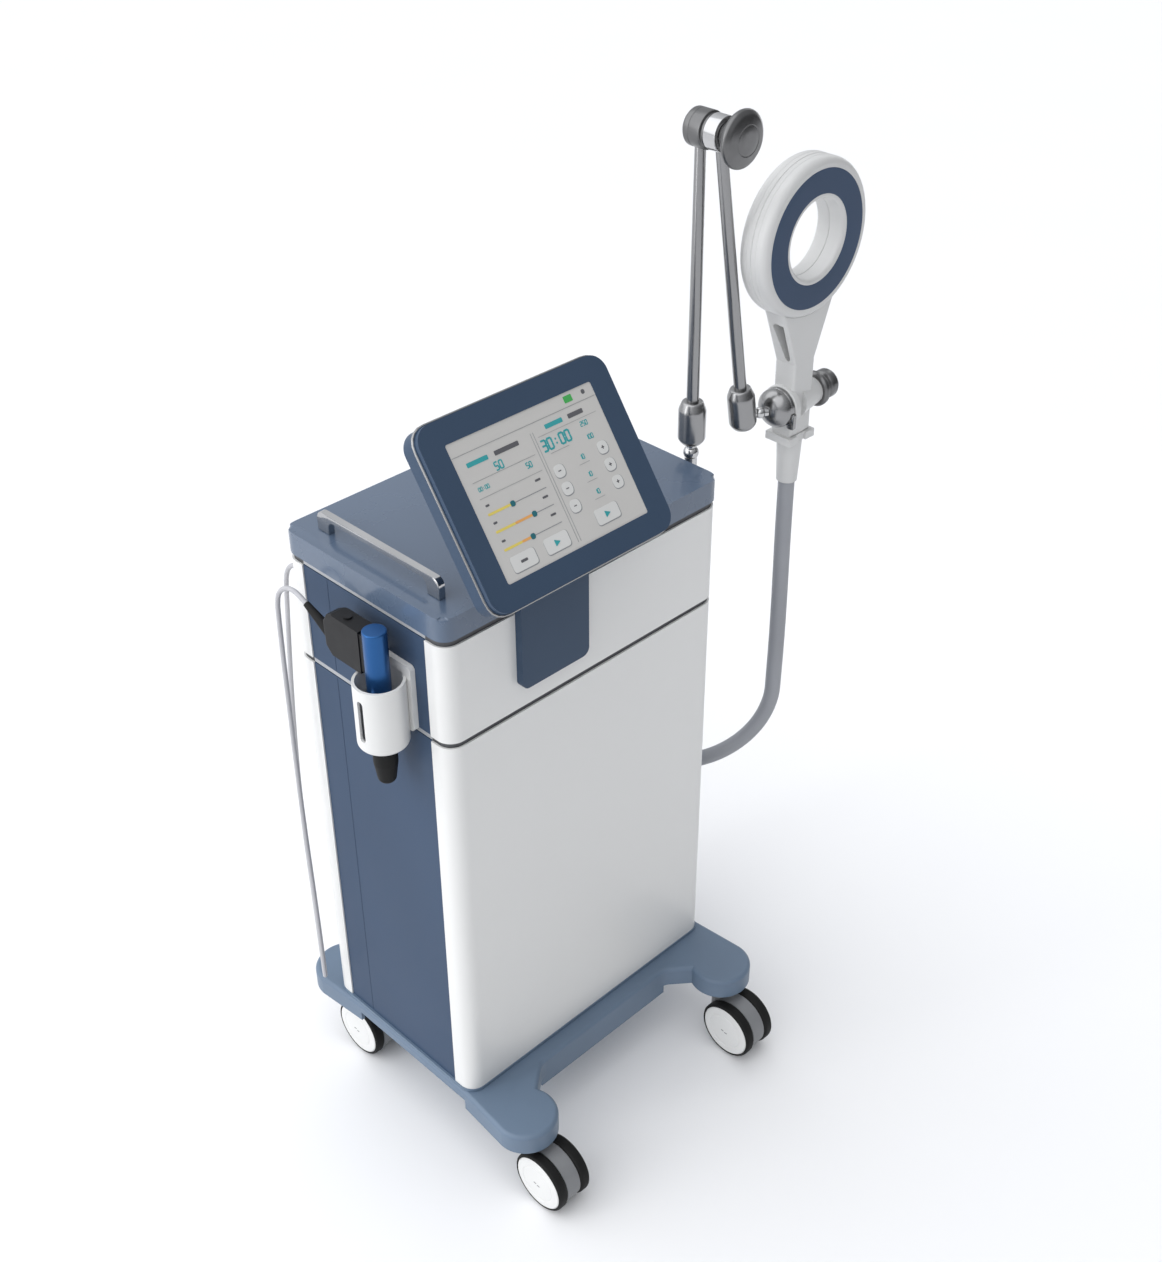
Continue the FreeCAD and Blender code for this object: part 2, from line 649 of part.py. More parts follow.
def arm_lower():
    base = V(ARM_X, ARM_Y, 0)
    stud = [
        (0, 936),
        (STUD_RADIUS, 936),
        (STUD_RADIUS, 986),
        (12, 986),
        (12, 993),
        (9.4, 995),
        (9.4, ARM_BALL_Z),
        (0, ARM_BALL_Z),
    ]
    ball_centre = base + V(0, 0, ARM_BALL_Z)
    ball = Part.makeSphere(11.5, ball_centre)
    throat = rod(ball_centre, Z_AXIS, 7, LOWER_BARREL_LOW - ARM_BALL_Z)
    save("arm_stud", fused(revolved(stud, base, Z_AXIS), ball, throat))
    r = ARM_BARREL_RADIUS
    barrel = [
        (0, LOWER_BARREL_LOW),
        (r - 6, LOWER_BARREL_LOW),
        (r, LOWER_BARREL_LOW + 8),
        (r, LOWER_BARREL_HIGH - 13),
        (15, LOWER_BARREL_HIGH),
        (0, LOWER_BARREL_HIGH),
    ]
    start = base + V(0, 0, LOWER_BARREL_HIGH)
    run = ELBOW - start
    drum = elbow_drum_part(25.5, DRUM_BACK, DRUM_FRONT)
    lower_rod = cone(start, run, 9, 7.5, run.Length).cut(drum)
    save("arm_lower_rod", lower_rod)
    save("arm_lower_barrel", revolved(barrel, base, Z_AXIS).cut(lower_rod))
    ring = elbow_drum_part(21.5, DRUM_FRONT, COLLAR_START - 0.1)
    pin = elbow_drum_part(ELBOW_PIN_RADIUS, COLLAR_START - 0.1, KNOB_START + 11)
    save("elbow_drum", fused(drum, ring, pin))


def elbow_drum_part(radius, near, far):
    """A plain drum on the elbow's axis, from one distance along it to another."""
    return rod(ELBOW + ELBOW_AXIS * near, ELBOW_AXIS, radius, far - near)


def upper_rod_start():
    return ELBOW + ELBOW_AXIS * ROD_OFFSET


def upper_rod_direction():
    return (UPPER_BARREL_END - upper_rod_start()).normalize()


def arm_upper():
    """The collar that turns on the elbow's pin, the slanting rod and the wrist's spindle."""
    seat = ELBOW + ELBOW_AXIS * COLLAR_START
    collar = tube(seat, ELBOW_AXIS, 24, ELBOW_PIN_RADIUS + RUNNING_GAP, COLLAR_LENGTH)
    direction = upper_rod_direction()
    length = (UPPER_BARREL_END - upper_rod_start()).Length - UPPER_BARREL_LENGTH - 0.1
    shaft = cone(upper_rod_start(), direction, 8, 9.2, length)
    shaft = shaft.cut(rod(seat, ELBOW_AXIS, 20, COLLAR_LENGTH))
    save("arm_upper_rod", fused(collar, shaft, wrist_spindle()))


def wrist_spindle():
    """The thin end of the rod that the wrist barrel turns on."""
    top = UPPER_BARREL_END - upper_rod_direction() * (UPPER_BARREL_LENGTH + 0.2)
    return rod(top, upper_rod_direction(), 6, 45)


def elbow_knob():
    start = ELBOW + ELBOW_AXIS * KNOB_START
    profile = [
        (ELBOW_PIN_RADIUS + RUNNING_GAP, 0),
        (18, 0),
        (18, 7),
        (22, 9),
        (34, 18),
        (38, 23),
        (38.5, 26),
        (36, 31),
        (28, 35),
        (15, 38),
        (0, 39),
        (0, 12),
        (ELBOW_PIN_RADIUS + RUNNING_GAP, 12),
    ]
    save("elbow_knob", revolved(profile, start, ELBOW_AXIS))


def clamp_centre():
    return V(HANDLE_X, HANDLE_Y, CLAMP_Z)


def wrist():
    """The wrist barrel on the rod's end, and the cup on its side that holds the handle."""
    direction = upper_rod_direction()
    r = ARM_BARREL_RADIUS
    n = UPPER_BARREL_LENGTH
    top = UPPER_BARREL_END - direction * n
    profile = [(0, n), (r - 5, n), (r, n - 8), (r, 13), (15, 0), (0, 0)]
    barrel = revolved(profile, top, direction)
    barrel = barrel.cut(rod(top - direction, direction, 6 + RUNNING_GAP, 47))
    arm = wrist_arm()
    save("wrist_barrel", barrel.cut(arm))
    save("wrist_cup", arm)


def wrist_arm():
    """The ball neck from its seat in the barrel's side to the domed cup."""
    depth = WRIST_CUP_DEPTH
    cup_back = clamp_centre() - CLAMP_AXIS * (WRIST_CUP_FACE + depth)
    rise = (cup_back.z - UPPER_BARREL_END.z) / -upper_rod_direction().z
    barrel_axis = UPPER_BARREL_END - upper_rod_direction() * rise
    run = (cup_back - barrel_axis).normalize()
    gap = (cup_back - barrel_axis).Length
    seat = rod(barrel_axis + run * 11, run, 6, gap - 11)
    ball = Part.makeSphere(8.5, barrel_axis + run * (ARM_BARREL_RADIUS + 6), run)
    rim = WRIST_CUP_RADIUS
    profile = [
        (0, -2),
        (9, -2),
        (17, 1),
        (24, 7),
        (rim - 1, 14),
        (rim, 19),
        (rim, depth),
        (0, depth),
    ]
    return fused(seat, ball, revolved(profile, cup_back, CLAMP_AXIS))


# ---------------------------------------------------------------- applicator
def face_circle(radius, y):
    """Picks the circle of that radius in the plane Y = y."""
    return lambda e: (
        e.BoundBox.YLength < 1e-4
        and abs(e.BoundBox.YMin - y) < 1e-4
        and abs(e.BoundBox.XLength - 2 * radius) < 1e-3
    )


def ring_shell(open_y, closed_y):
    """Half of the hollow ring, from its open rim at the seam to its rounded, closed face."""
    wall = 3.0
    direction = Y_AXIS if closed_y > open_y else -Y_AXIS
    depth = abs(closed_y - open_y)
    start = V(HANDLE_X, open_y, RING_CENTRE_Z)
    shell = tube(start, direction, RING_RADIUS, RING_HOLE, depth)
    for radius, rounding in ((RING_RADIUS, 11), (RING_HOLE, 5)):
        shell = filleted(shell, rounding, face_circle(radius, closed_y))
    return shell.cut(tube(start, direction, RING_RADIUS - 9, RING_HOLE + 6, depth - wall))


def applicator():
    front = HANDLE_Y - RING_DEPTH / 2
    back = HANDLE_Y + RING_DEPTH / 2
    seam = HANDLE_Y
    face_groove = tube(V(HANDLE_X, front, RING_CENTRE_Z), Y_AXIS, PAD_OUTER, PAD_INNER, 1.5)
    neck = applicator_neck()
    save("ring_shell_front", ring_shell(seam, front).cut(face_groove).cut(neck))
    save("ring_shell_back", ring_shell(seam, back).cut(neck))
    pad_back = V(HANDLE_X, front - 0.6, RING_CENTRE_Z)
    save("ring_pad", tube(pad_back, Y_AXIS, PAD_OUTER, PAD_INNER, 2.1))
    save("ring_coil", tube(V(HANDLE_X, HANDLE_Y - 14, RING_CENTRE_Z), Y_AXIS, 98, 68, 28))
    sleeve_top = NECK_FOOT - COLLAR_HEIGHT
    sleeve = cone(V(HANDLE_X, HANDLE_Y, SLEEVE_BOTTOM), Z_AXIS, 15.5, 19, sleeve_top - SLEEVE_BOTTOM)
    save("applicator_sleeve", sleeve)
    save("applicator_handle", fused(neck, cup_seat()).cut(clamp_bore()))


def cup_seat():
    """The round seat that meets the wrist's cup, and the tapered boss on the knob's side."""
    start = clamp_centre() - CLAMP_AXIS * CUP_SEAT_END
    seat = rod(start, CLAMP_AXIS, WRIST_CUP_RADIUS + 2, CUP_SEAT_END - NECK_HALF + 4)
    boss = cone(clamp_centre(), CLAMP_AXIS, 27, 20, CLAMP_BOSS_END)
    return fused(filleted(seat, 2, face_circle_x(WRIST_CUP_RADIUS + 2, start.x)), boss)


def face_circle_x(radius, x):
    """Picks the circle of that radius in the plane X = x."""
    return lambda e: (
        e.BoundBox.XLength < 1e-4
        and abs(e.BoundBox.XMin - x) < 1e-4
        and abs(e.BoundBox.YLength - 2 * radius) < 1e-3
    )


def clamp_bore():
    start = clamp_centre() + CLAMP_AXIS * 15
    return rod(start, CLAMP_AXIS, CLAMP_STEM_RADIUS + RUNNING_GAP, CLAMP_BOSS_END)


def neck_window():
    """The rounded opening from side to side through the fork, behind its front wall."""
    outline = [(-11, 1157), (-6, 1151), (-2, 1156), (8, 1210), (4, 1215), (-12, 1214)]
    hole = polygon_plate(
        outline,
        lambda y, z: V(HANDLE_X - 70, HANDLE_Y + y, z),
        V(140, 0, 0),
    )
    return filleted(hole, 2, lambda e: e.BoundBox.XLength > NECK_DEPTH)


def applicator_neck():
    """The forked neck under the ring, its straight grip and the notched collar at its foot."""
    ring_foot = RING_CENTRE_Z - 76
    half = [(NECK_HALF, NECK_FOOT), (NECK_HALF, 1148), (50, 1222), (64, ring_foot)]
    outline = half + [(-x, z) for x, z in reversed(half)]
    front = HANDLE_Y - NECK_DEPTH / 2
    plate = polygon_plate(outline, lambda x, z: V(HANDLE_X + x, front, z), V(0, NECK_DEPTH, 0))
    plate = filleted(plate, 4, lambda e: e.BoundBox.YLength < 0.01 and e.BoundBox.ZMin > NECK_FOOT - 1)
    outer_ring = rod(V(HANDLE_X, HANDLE_Y - 40, RING_CENTRE_Z), Y_AXIS, RING_RADIUS - 1, 80)
    plate = plate.cut(outer_ring)
    plate = plate.cut(neck_window())
    low = NECK_FOOT - COLLAR_HEIGHT
    collar = box(HANDLE_X - 28, HANDLE_X + 28, HANDLE_Y - 23, HANDLE_Y + 23, low, NECK_FOOT)
    notch = box(HANDLE_X - 9, HANDLE_X + 9, HANDLE_Y - 30, front, low - 1, NECK_FOOT)
    return fused(plate, collar.cut(notch))


def clamp_knob():
    """A two-part knob with a waist between its parts, on a stem that runs in the neck's boss."""
    start = clamp_centre() + CLAMP_AXIS * (CLAMP_BOSS_END + 0.3)
    stem = CLAMP_STEM_RADIUS
    profile = [
        (0, -20),
        (stem, -20),
        (stem, 0),
        (24, 0),
        (27, 3),
        (27, 8),
        (24, 11),
        (17, 13),
        (17, 19),
        (21, 22),
        (22, 25),
        (22, 34),
        (19, 38),
        (0, 38),
    ]
    save("clamp_knob", revolved(profile, start, CLAMP_AXIS))


def hose_socket():
    """A flanged collar that turns the hose down and forwards as it leaves the end panel."""
    end = V(*HOSE_ROUTE[-1])
    axis = (V(*HOSE_ROUTE[-2]) - end).normalize()
    flange = rod(HOSE_SOCKET, X_AXIS, 27, 6)
    shank = rod(HOSE_SOCKET - V(10, 0, 0), X_AXIS, 14, 16)
    start = end - axis * 34
    collar = rod(start, axis, 16.5, 34)
    collar = collar.cut(box(0, END_FACE, -300, 300, 300, 600))
    save("hose_socket", fused(flange, shank, collar))


# ---------------------------------------------------------------- inside and rear
def hollow_case(x0, x1, y0, y1, z0, z1, wall):
    inner = box(x0 + wall, x1 - wall, y0 + wall, y1 - wall, z0 + wall, z1 - wall)
    return box(x0, x1, y0, y1, z0, z1).cut(inner)


def electronics():
    case = 4.0
    save("power_supply", hollow_case(-200, -60, -90, 60, BASE_TOP, BASE_TOP + 72, case))
    module_top = SHELF_TOP + 138
    save("generator_module", hollow_case(-190, 60, -100, 80, SHELF_TOP, module_top, case))
    standoff = 8.0
    board = box(-170, 40, -80, 60, module_top + standoff, module_top + standoff + 1.6)
    feet = [rod(V(x, y, module_top), Z_AXIS, 3.5, standoff) for x in (-160, 30) for y in (-70, 50)]
    save("control_board", fused(board, *feet))
    cans = [rod(V(110 + 50 * i, y, SHELF_TOP), Z_AXIS, 22, 105) for i in range(2) for y in (-60, 0, 60)]
    save("capacitor_bank", *cans)


def fan():
    """A square fan screwed to the rear cover's inner face, with its rotor on a fixed spindle."""
    front = HALF_D - SKIN - FAN_DEPTH
    half = FAN_SIZE / 2
    centre = V(0, front, FAN_Z)
    frame = box(-half, half, front, HALF_D - SKIN, FAN_Z - half, FAN_Z + half)
    frame = frame.cut(rod(centre, Y_AXIS, FAN_BORE, FAN_DEPTH))
    arms = [
        box(-FAN_BORE - 0.5, FAN_BORE + 0.5, front, front + 3, FAN_Z - 2, FAN_Z + 2),
        box(-2, 2, front, front + 3, FAN_Z - FAN_BORE - 0.5, FAN_Z + FAN_BORE + 0.5),
    ]
    spindle_radius = 4.0
    spindle = rod(centre, Y_AXIS, spindle_radius, 10)
    save("fan_frame", fused(frame, spindle, *arms))
    hub_bore = rod(centre + V(0, 3.5, 0), Y_AXIS, spindle_radius + RUNNING_GAP, 7)
    hub = rod(centre + V(0, 4, 0), Y_AXIS, 20, 18).cut(hub_bore)
    middle = FreeCAD.Placement(centre + V(0, 13, 0), FreeCAD.Rotation(X_AXIS, 90))
    blades = []
    for i in range(7):
        blade = box(18, FAN_BORE - 3, -1.2, 1.2, -8, 8)
        blade.rotate(V(0, 0, 0), X_AXIS, 38)
        blade.rotate(V(0, 0, 0), Z_AXIS, i * 360 / 7)
        blade.Placement = middle.multiply(blade.Placement)
        blades.append(blade)
    save("fan_rotor", fused(hub, *blades))


def fan_grille():
    """A wire guard of rings and spokes over the fan's opening."""
    centre = V(0, HALF_D, FAN_Z)
    rings = [tube(centre, Y_AXIS, r + 1.2, r - 1.2, 2.4) for r in (12, 24, 36, 48)]
    rim = tube(centre, Y_AXIS, 62, 55, 2.4)
    spokes = []
    for i in range(4):
        spoke = box(-60, 60, 0, 2.4, -1.2, 1.2)
        spoke.rotate(V(0, 0, 0), Y_AXIS, i * 45)
        spoke.translate(centre)
        spokes.append(spoke)
    save("fan_grille", fused(rim, *rings, *spokes))


def mains_inlet():
    """The inlet socket and the switch's well in one moulding, with no lead."""
    x0, x1 = 119.0, 173.0
    body = box(x0, x1, HALF_D - 30, HALF_D, 197, 267)
    flange = rounded_block(x0 - 6, x1 + 6, 190, 274, 4, 0, 3)
    flange.Placement = FreeCAD.Placement(V(0, HALF_D + 3, 0), FreeCAD.Rotation(X_AXIS, 90))
    inlet = fused(body, flange)
    socket = box(133, 159, HALF_D - 18, HALF_D + 4, 205, 225)
    blades = [box(145 + d, 147 + d, HALF_D - 18, HALF_D - 2, 212, 218) for d in (-7, 0, 7)]
    well = box(134.5, 157.5, HALF_D - 16, HALF_D + 4, 238.5, 261.5)
    pivot_bore = rod(V(ROCKER_X - 14, ROCKER_Y, ROCKER_Z), X_AXIS, ROCKER_PIVOT_RADIUS + RUNNING_GAP, 28)
    inlet = inlet.cut(socket).cut(well).cut(pivot_bore)
    save("mains_inlet", fused(inlet, *blades))


def power_switch():
    """A rocker on a short pivot across the middle of its well."""
    profile = [(-10.2, -2.4), (-10.2, 4.4), (0, 2), (10.2, 6), (10.2, -2.4), (2.8, -5.6), (-2.8, -5.6)]
    half = 10.8
    rocker = polygon_plate(
        profile,
        lambda z, h: V(ROCKER_X - half, ROCKER_Y + h, ROCKER_Z + z),
        V(2 * half, 0, 0),
    )
    pivot = rod(V(ROCKER_X - 13.5, ROCKER_Y, ROCKER_Z), X_AXIS, ROCKER_PIVOT_RADIUS, 27)
    save("power_switch", fused(rocker, pivot))


def panel_screws():
    """Pan-head screws that hold the rear covers to the frame."""
    heads = []
    for z in (190, 340, 480, 700, 850, 955):
        for x in (-228, 228):
            if z == 955 and x < 0:
                continue
            heads.append(rod(V(x, HALF_D, z), Y_AXIS, 3.5, 1.8))
    save("panel_screws", *heads)


os.makedirs("parts", exist_ok=True)
covers()
seam_bands()
inner_frame()
lid()
lid_handle()
base_moulding()
castors()
screen()
screen_hinge()
screen_bracket()
cup_holder()
handpiece()
cable_gland()
arm_bracket()
arm_lower()
arm_upper()
elbow_knob()
wrist()
applicator()
clamp_knob()
hose_socket()
electronics()
fan()
fan_grille()
mains_inlet()
power_switch()
panel_screws()
save("hose", cord_tube("hose", HOSE_ROUTE, HOSE_DIAMETER))
save("handpiece_cable", cord_tube("handpiece_cable", CABLE_ROUTE, CABLE_DIAMETER))
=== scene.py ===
import math

import bmesh
import bpy
from mathutils import Matrix, Vector


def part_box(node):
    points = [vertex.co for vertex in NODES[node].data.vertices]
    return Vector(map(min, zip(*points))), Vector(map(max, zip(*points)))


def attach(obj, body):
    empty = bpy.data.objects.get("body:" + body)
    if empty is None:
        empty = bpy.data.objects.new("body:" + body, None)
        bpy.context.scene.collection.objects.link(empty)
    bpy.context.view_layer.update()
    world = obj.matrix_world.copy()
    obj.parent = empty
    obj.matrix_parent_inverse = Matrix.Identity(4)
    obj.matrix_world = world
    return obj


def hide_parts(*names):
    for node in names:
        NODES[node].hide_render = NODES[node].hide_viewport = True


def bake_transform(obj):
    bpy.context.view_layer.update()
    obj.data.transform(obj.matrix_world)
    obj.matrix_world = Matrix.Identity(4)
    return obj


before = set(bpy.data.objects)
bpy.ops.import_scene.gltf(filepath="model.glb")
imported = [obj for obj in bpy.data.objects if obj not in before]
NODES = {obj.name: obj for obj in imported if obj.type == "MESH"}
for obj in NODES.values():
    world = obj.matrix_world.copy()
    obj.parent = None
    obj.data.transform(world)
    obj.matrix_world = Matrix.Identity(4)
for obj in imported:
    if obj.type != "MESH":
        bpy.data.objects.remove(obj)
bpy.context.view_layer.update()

X, Y, Z = Vector((1, 0, 0)), Vector((0, 1, 0)), Vector((0, 0, 1))


# ---------------------------------------------------------------- camera
CAMERA_PLACE = (-1.3334, -1.5034, 2.1844)
CAMERA_YAW, CAMERA_PITCH, CAMERA_ROLL = 45.534, 34.489, -0.41
CAMERA_LENS = 47.8


def camera():
    """Stands to the left of the front, above the lid, and looks down at the cabinet."""
    yaw, pitch, roll = (math.radians(a) for a in (CAMERA_YAW, CAMERA_PITCH, CAMERA_ROLL))
    ahead = Vector((math.cos(yaw) * math.cos(pitch), math.sin(yaw) * math.cos(pitch), -math.sin(pitch)))
    level = Vector((math.sin(yaw), -math.cos(yaw), 0))
    upright = level.cross(ahead)
    right = level * math.cos(roll) + upright * math.sin(roll)
    up = upright * math.cos(roll) - level * math.sin(roll)
    lens = bpy.data.cameras.new("camera")
    lens.lens = CAMERA_LENS
    cam = bpy.data.objects.new("camera", lens)
    turn = Matrix((right, up, -ahead)).transposed().to_4x4()
    cam.matrix_world = Matrix.Translation(CAMERA_PLACE) @ turn
    bpy.context.scene.collection.objects.link(cam)
    bpy.context.scene.camera = cam


# ---------------------------------------------------------------- materials
def material(
    name, colours, roughness, metallic=0.0, coat=0.0, specular=0.5,
    patch=9.0, stretch=(1, 1, 1), grain=900.0, bump=0.03,
):
    """Two close tones in soft patches, uneven gloss, and a fine grain that is bump millimetres high."""
    made = bpy.data.materials.new(name)
    made.use_nodes = True
    tree = made.node_tree
    shader = tree.nodes["Principled BSDF"]
    shader.inputs["Metallic"].default_value = metallic
    shader.inputs["Specular IOR Level"].default_value = specular
    shader.inputs["Coat Weight"].default_value = coat
    shader.inputs["Coat Roughness"].default_value = 0.06
    place = tree.nodes.new("ShaderNodeTexCoord")
    scaled = tree.nodes.new("ShaderNodeMapping")
    scaled.inputs["Scale"].default_value = stretch
    tree.links.new(place.outputs["Object"], scaled.inputs["Vector"])
    soft = noise(tree, scaled.outputs["Vector"], patch, 4.0)
    tones = tree.nodes.new("ShaderNodeValToRGB")
    tones.color_ramp.elements[0].position = 0.3
    tones.color_ramp.elements[1].position = 0.7
    for element, colour in zip(tones.color_ramp.elements, colours):
        element.color = (*colour, 1)
    tree.links.new(soft, tones.inputs["Fac"])
    tree.links.new(tones.outputs["Color"], shader.inputs["Base Color"])
    smears = noise(tree, scaled.outputs["Vector"], patch * 4, 6.0)
    gloss = tree.nodes.new("ShaderNodeMapRange")
    gloss.inputs["To Min"].default_value = roughness[0]
    gloss.inputs["To Max"].default_value = roughness[1]
    tree.links.new(smears, gloss.inputs["Value"])
    tree.links.new(gloss.outputs["Result"], shader.inputs["Roughness"])
    fine = noise(tree, scaled.outputs["Vector"], grain, 2.0)
    relief = tree.nodes.new("ShaderNodeBump")
    relief.inputs["Strength"].default_value = 0.5
    relief.inputs["Distance"].default_value = bump / 1000
    tree.links.new(fine, relief.inputs["Height"])
    tree.links.new(relief.outputs["Normal"], shader.inputs["Normal"])
    return made


def noise(tree, vector, scale, detail):
    node = tree.nodes.new("ShaderNodeTexNoise")
    node.inputs["Scale"].default_value = scale
    node.inputs["Detail"].default_value = detail
    tree.links.new(vector, node.inputs["Vector"])
    return node.outputs["Fac"]


def close(colour, spread=0.06):
    """That colour a little darker and a little lighter."""
    return [tuple(c * (1 - spread) for c in colour), tuple(min(1.0, c * (1 + spread)) for c in colour)]


def metal(name, grey, roughness, stretch=(1, 1, 1), bump=0.01):
    tones = close((grey, grey, grey * 1.01), 0.08)
    return material(name, tones, roughness, metallic=1.0, stretch=stretch, grain=500, bump=bump)


def shining(name, colour, strength):
    """A lit part of the display, a little uneven."""
    made = material(name, close(colour, 0.03), (0.25, 0.35), coat=0.5, patch=6, bump=0.005)
    shader = made.node_tree.nodes["Principled BSDF"]
    shader.inputs["Emission Color"].default_value = (*colour, 1)
    shader.inputs["Emission Strength"].default_value = strength
    return made


WHITE = material(
    "cover_white", close((0.72, 0.72, 0.71), 0.008), (0.30, 0.33), coat=0.1, patch=3, bump=0.001
)
PANEL = material(
    "panel_blue", close((0.043, 0.070, 0.122), 0.05), (0.38, 0.46), patch=5, bump=0.002, specular=0.12
)
LID = material("lid_blue", close((0.085, 0.122, 0.185), 0.04), (0.24, 0.30), coat=0.3, patch=4, bump=0.002)
BASE = material("base_blue", close((0.120, 0.172, 0.245), 0.05), (0.38, 0.50), grain=1400, bump=0.02)
SCREEN_BLUE = material(
    "screen_blue", close((0.046, 0.074, 0.122), 0.04), (0.36, 0.42), patch=5, bump=0.002, specular=0.15
)
TRIM = material("seam_trim", close((0.07, 0.072, 0.078), 0.1), (0.45, 0.6), bump=0.03)
GREY_PLASTIC = material("castor_grey", close((0.21, 0.215, 0.225), 0.05), (0.35, 0.5), bump=0.04)
LIGHT_PLASTIC = material(
    "applicator_white", close((0.60, 0.60, 0.595), 0.02), (0.36, 0.42), patch=5, bump=0.003
)
CUP_WHITE = material(
    "cup_white", close((0.70, 0.70, 0.69), 0.01), (0.28, 0.31), coat=0.15, patch=5, bump=0.001
)
BLACK = material(
    "black_plastic", close((0.009, 0.009, 0.010), 0.2), (0.42, 0.55), grain=1600, bump=0.02, specular=0.25
)
RUBBER = material(
    "black_rubber", close((0.009, 0.009, 0.009), 0.2), (0.55, 0.7), grain=1200, bump=0.03, specular=0.2
)
HOSE = material("hose_grey", close((0.30, 0.31, 0.335), 0.05), (0.42, 0.55), grain=700, bump=0.05)
CABLE = material("cable_grey", close((0.42, 0.42, 0.44), 0.04), (0.38, 0.5), grain=900, bump=0.03)
PAD = material(
    "pad_blue", close((0.046, 0.074, 0.130), 0.05), (0.5, 0.6), grain=2200, bump=0.03, specular=0.2
)
ANODISED = material(
    "blue_anodised", close((0.022, 0.100, 0.280), 0.08), (0.26, 0.34), 0.75, stretch=(1, 1, 0.1), bump=0.004
)
CHROME = metal("chrome", 0.52, (0.10, 0.16), bump=0.001)
SATIN = metal("satin_steel", 0.30, (0.2, 0.28), stretch=(1, 1, 0.12), bump=0.004)
BRUSHED = metal("brushed_steel", 0.17, (0.26, 0.36), stretch=(6, 0.4, 6), bump=0.006)
STEEL = metal("sheet_steel", 0.42, (0.35, 0.5), bump=0.02)
COPPER = material(
    "coil_copper", close((0.60, 0.28, 0.13), 0.15), (0.25, 0.4), 1.0, stretch=(1, 12, 1), bump=0.05
)
BOARD = material("circuit_board", close((0.02, 0.16, 0.07), 0.2), (0.35, 0.5), patch=60, bump=0.03)
FLOOR = material("floor", close((0.86, 0.86, 0.87), 0.004), (0.75, 0.85), patch=2, grain=200, bump=0.01)
FACE = shining("display_face", (0.50, 0.49, 0.475), 0.12)
# painted highlight: a light seam colour only for the lit left end, standing in for the light the seams
# catch there
SEAM_HIGHLIGHT_PAINT = material("seam_painted_highlight", close((0.36, 0.37, 0.39), 0.04), (0.35, 0.45), bump=0.004)
GROOVE_BLUE = material(
    "groove_blue", close((0.026, 0.044, 0.080), 0.05), (0.4, 0.5), bump=0.004, specular=0.1
)

FINISHES = {
    WHITE: ["front_cover_lower", "front_cover_upper", "rear_covers"],
    PANEL: ["left_end_panels", "right_end_panels"],
    LID: ["lid"],
    BASE: ["base_moulding"],
    SCREEN_BLUE: ["screen_bracket", "screen_bezel", "screen_back"],
    TRIM: ["seam_bands"],
    CUP_WHITE: ["cup_holder"],
    LIGHT_PLASTIC: ["ring_shell_front", "ring_shell_back", "applicator_handle", "applicator_sleeve"],
    PAD: ["ring_pad"],
    BLACK: ["handpiece_grip", "handpiece_button", "fan_frame", "fan_rotor", "mains_inlet", "power_switch",
            "cable_gland", "hose_socket", "capacitor_bank"],
    RUBBER: ["handpiece_nozzle", "handpiece_strain_relief"],
    ANODISED: ["handpiece_barrel"],
    CHROME: ["lid_handle", "arm_stud", "wrist_cup", "fan_grille"],
    SATIN: ["arm_lower_barrel", "wrist_barrel", "arm_lower_rod", "arm_upper_rod", "clamp_knob"],
    BRUSHED: ["elbow_drum", "elbow_knob", "arm_bracket", "screen_hinge", "panel_screws"],
    STEEL: ["inner_frame", "power_supply", "generator_module", "screen_panel"],
    COPPER: ["ring_coil"],
    BOARD: ["control_board"],
    FACE: ["screen_glass"],
    HOSE: ["hose"],
    CABLE: ["handpiece_cable"],
}


def paint(obj, *materials):
    obj.data.materials.clear()
    for each in materials:
        obj.data.materials.append(each)
    return obj


def finish_nodes():
    for finish, names in FINISHES.items():
        for name in names:
            paint(NODES[name], finish)
    for name, node in NODES.items():
        if name.startswith("castor"):
            paint(node, GREY_PLASTIC)


# ---------------------------------------------------------------- mesh helpers
def piece(name, shape, finish, body, sharp=40.0):
    """Turns a bmesh into a smooth-shaded piece that rides on a body."""
    bmesh.ops.recalc_face_normals(shape, faces=shape.faces)
    mesh = bpy.data.meshes.new(name)
    shape.to_mesh(mesh)
    shape.free()
    mesh.shade_smooth()
    mesh.set_sharp_from_angle(angle=math.radians(sharp))
    obj = bpy.data.objects.new(name, mesh)
    bpy.context.scene.collection.objects.link(obj)
    mesh.materials.append(finish)
    if body:
        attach(obj, body)
    return obj


def softened(points, radius, closed=False, steps=4):
    """The polyline with each corner turned into a short curve of about that radius."""
    rounded = []
    count = len(points)
    for i, point in enumerate(points):
        corner = Vector(point)
        if not closed and i in (0, count - 1):
            rounded.append(corner)
            continue
        before = Vector(points[i - 1]) - corner
        after = Vector(points[(i + 1) % count]) - corner
        reach = min(radius, before.length * 0.45, after.length * 0.45)
        start = corner + before.normalized() * reach
        end = corner + after.normalized() * reach
        for step in range(steps + 1):
            t = step / steps
            rounded.append(start * (1 - t) ** 2 + corner * 2 * t * (1 - t) + end * t**2)
    return rounded


def across(axis):
    """Two directions square to the axis and to each other."""
    side = axis.cross(Z) if abs(axis.z) < 0.9 else axis.cross(Y)
    side.normalize()
    return side, axis.cross(side).normalized()


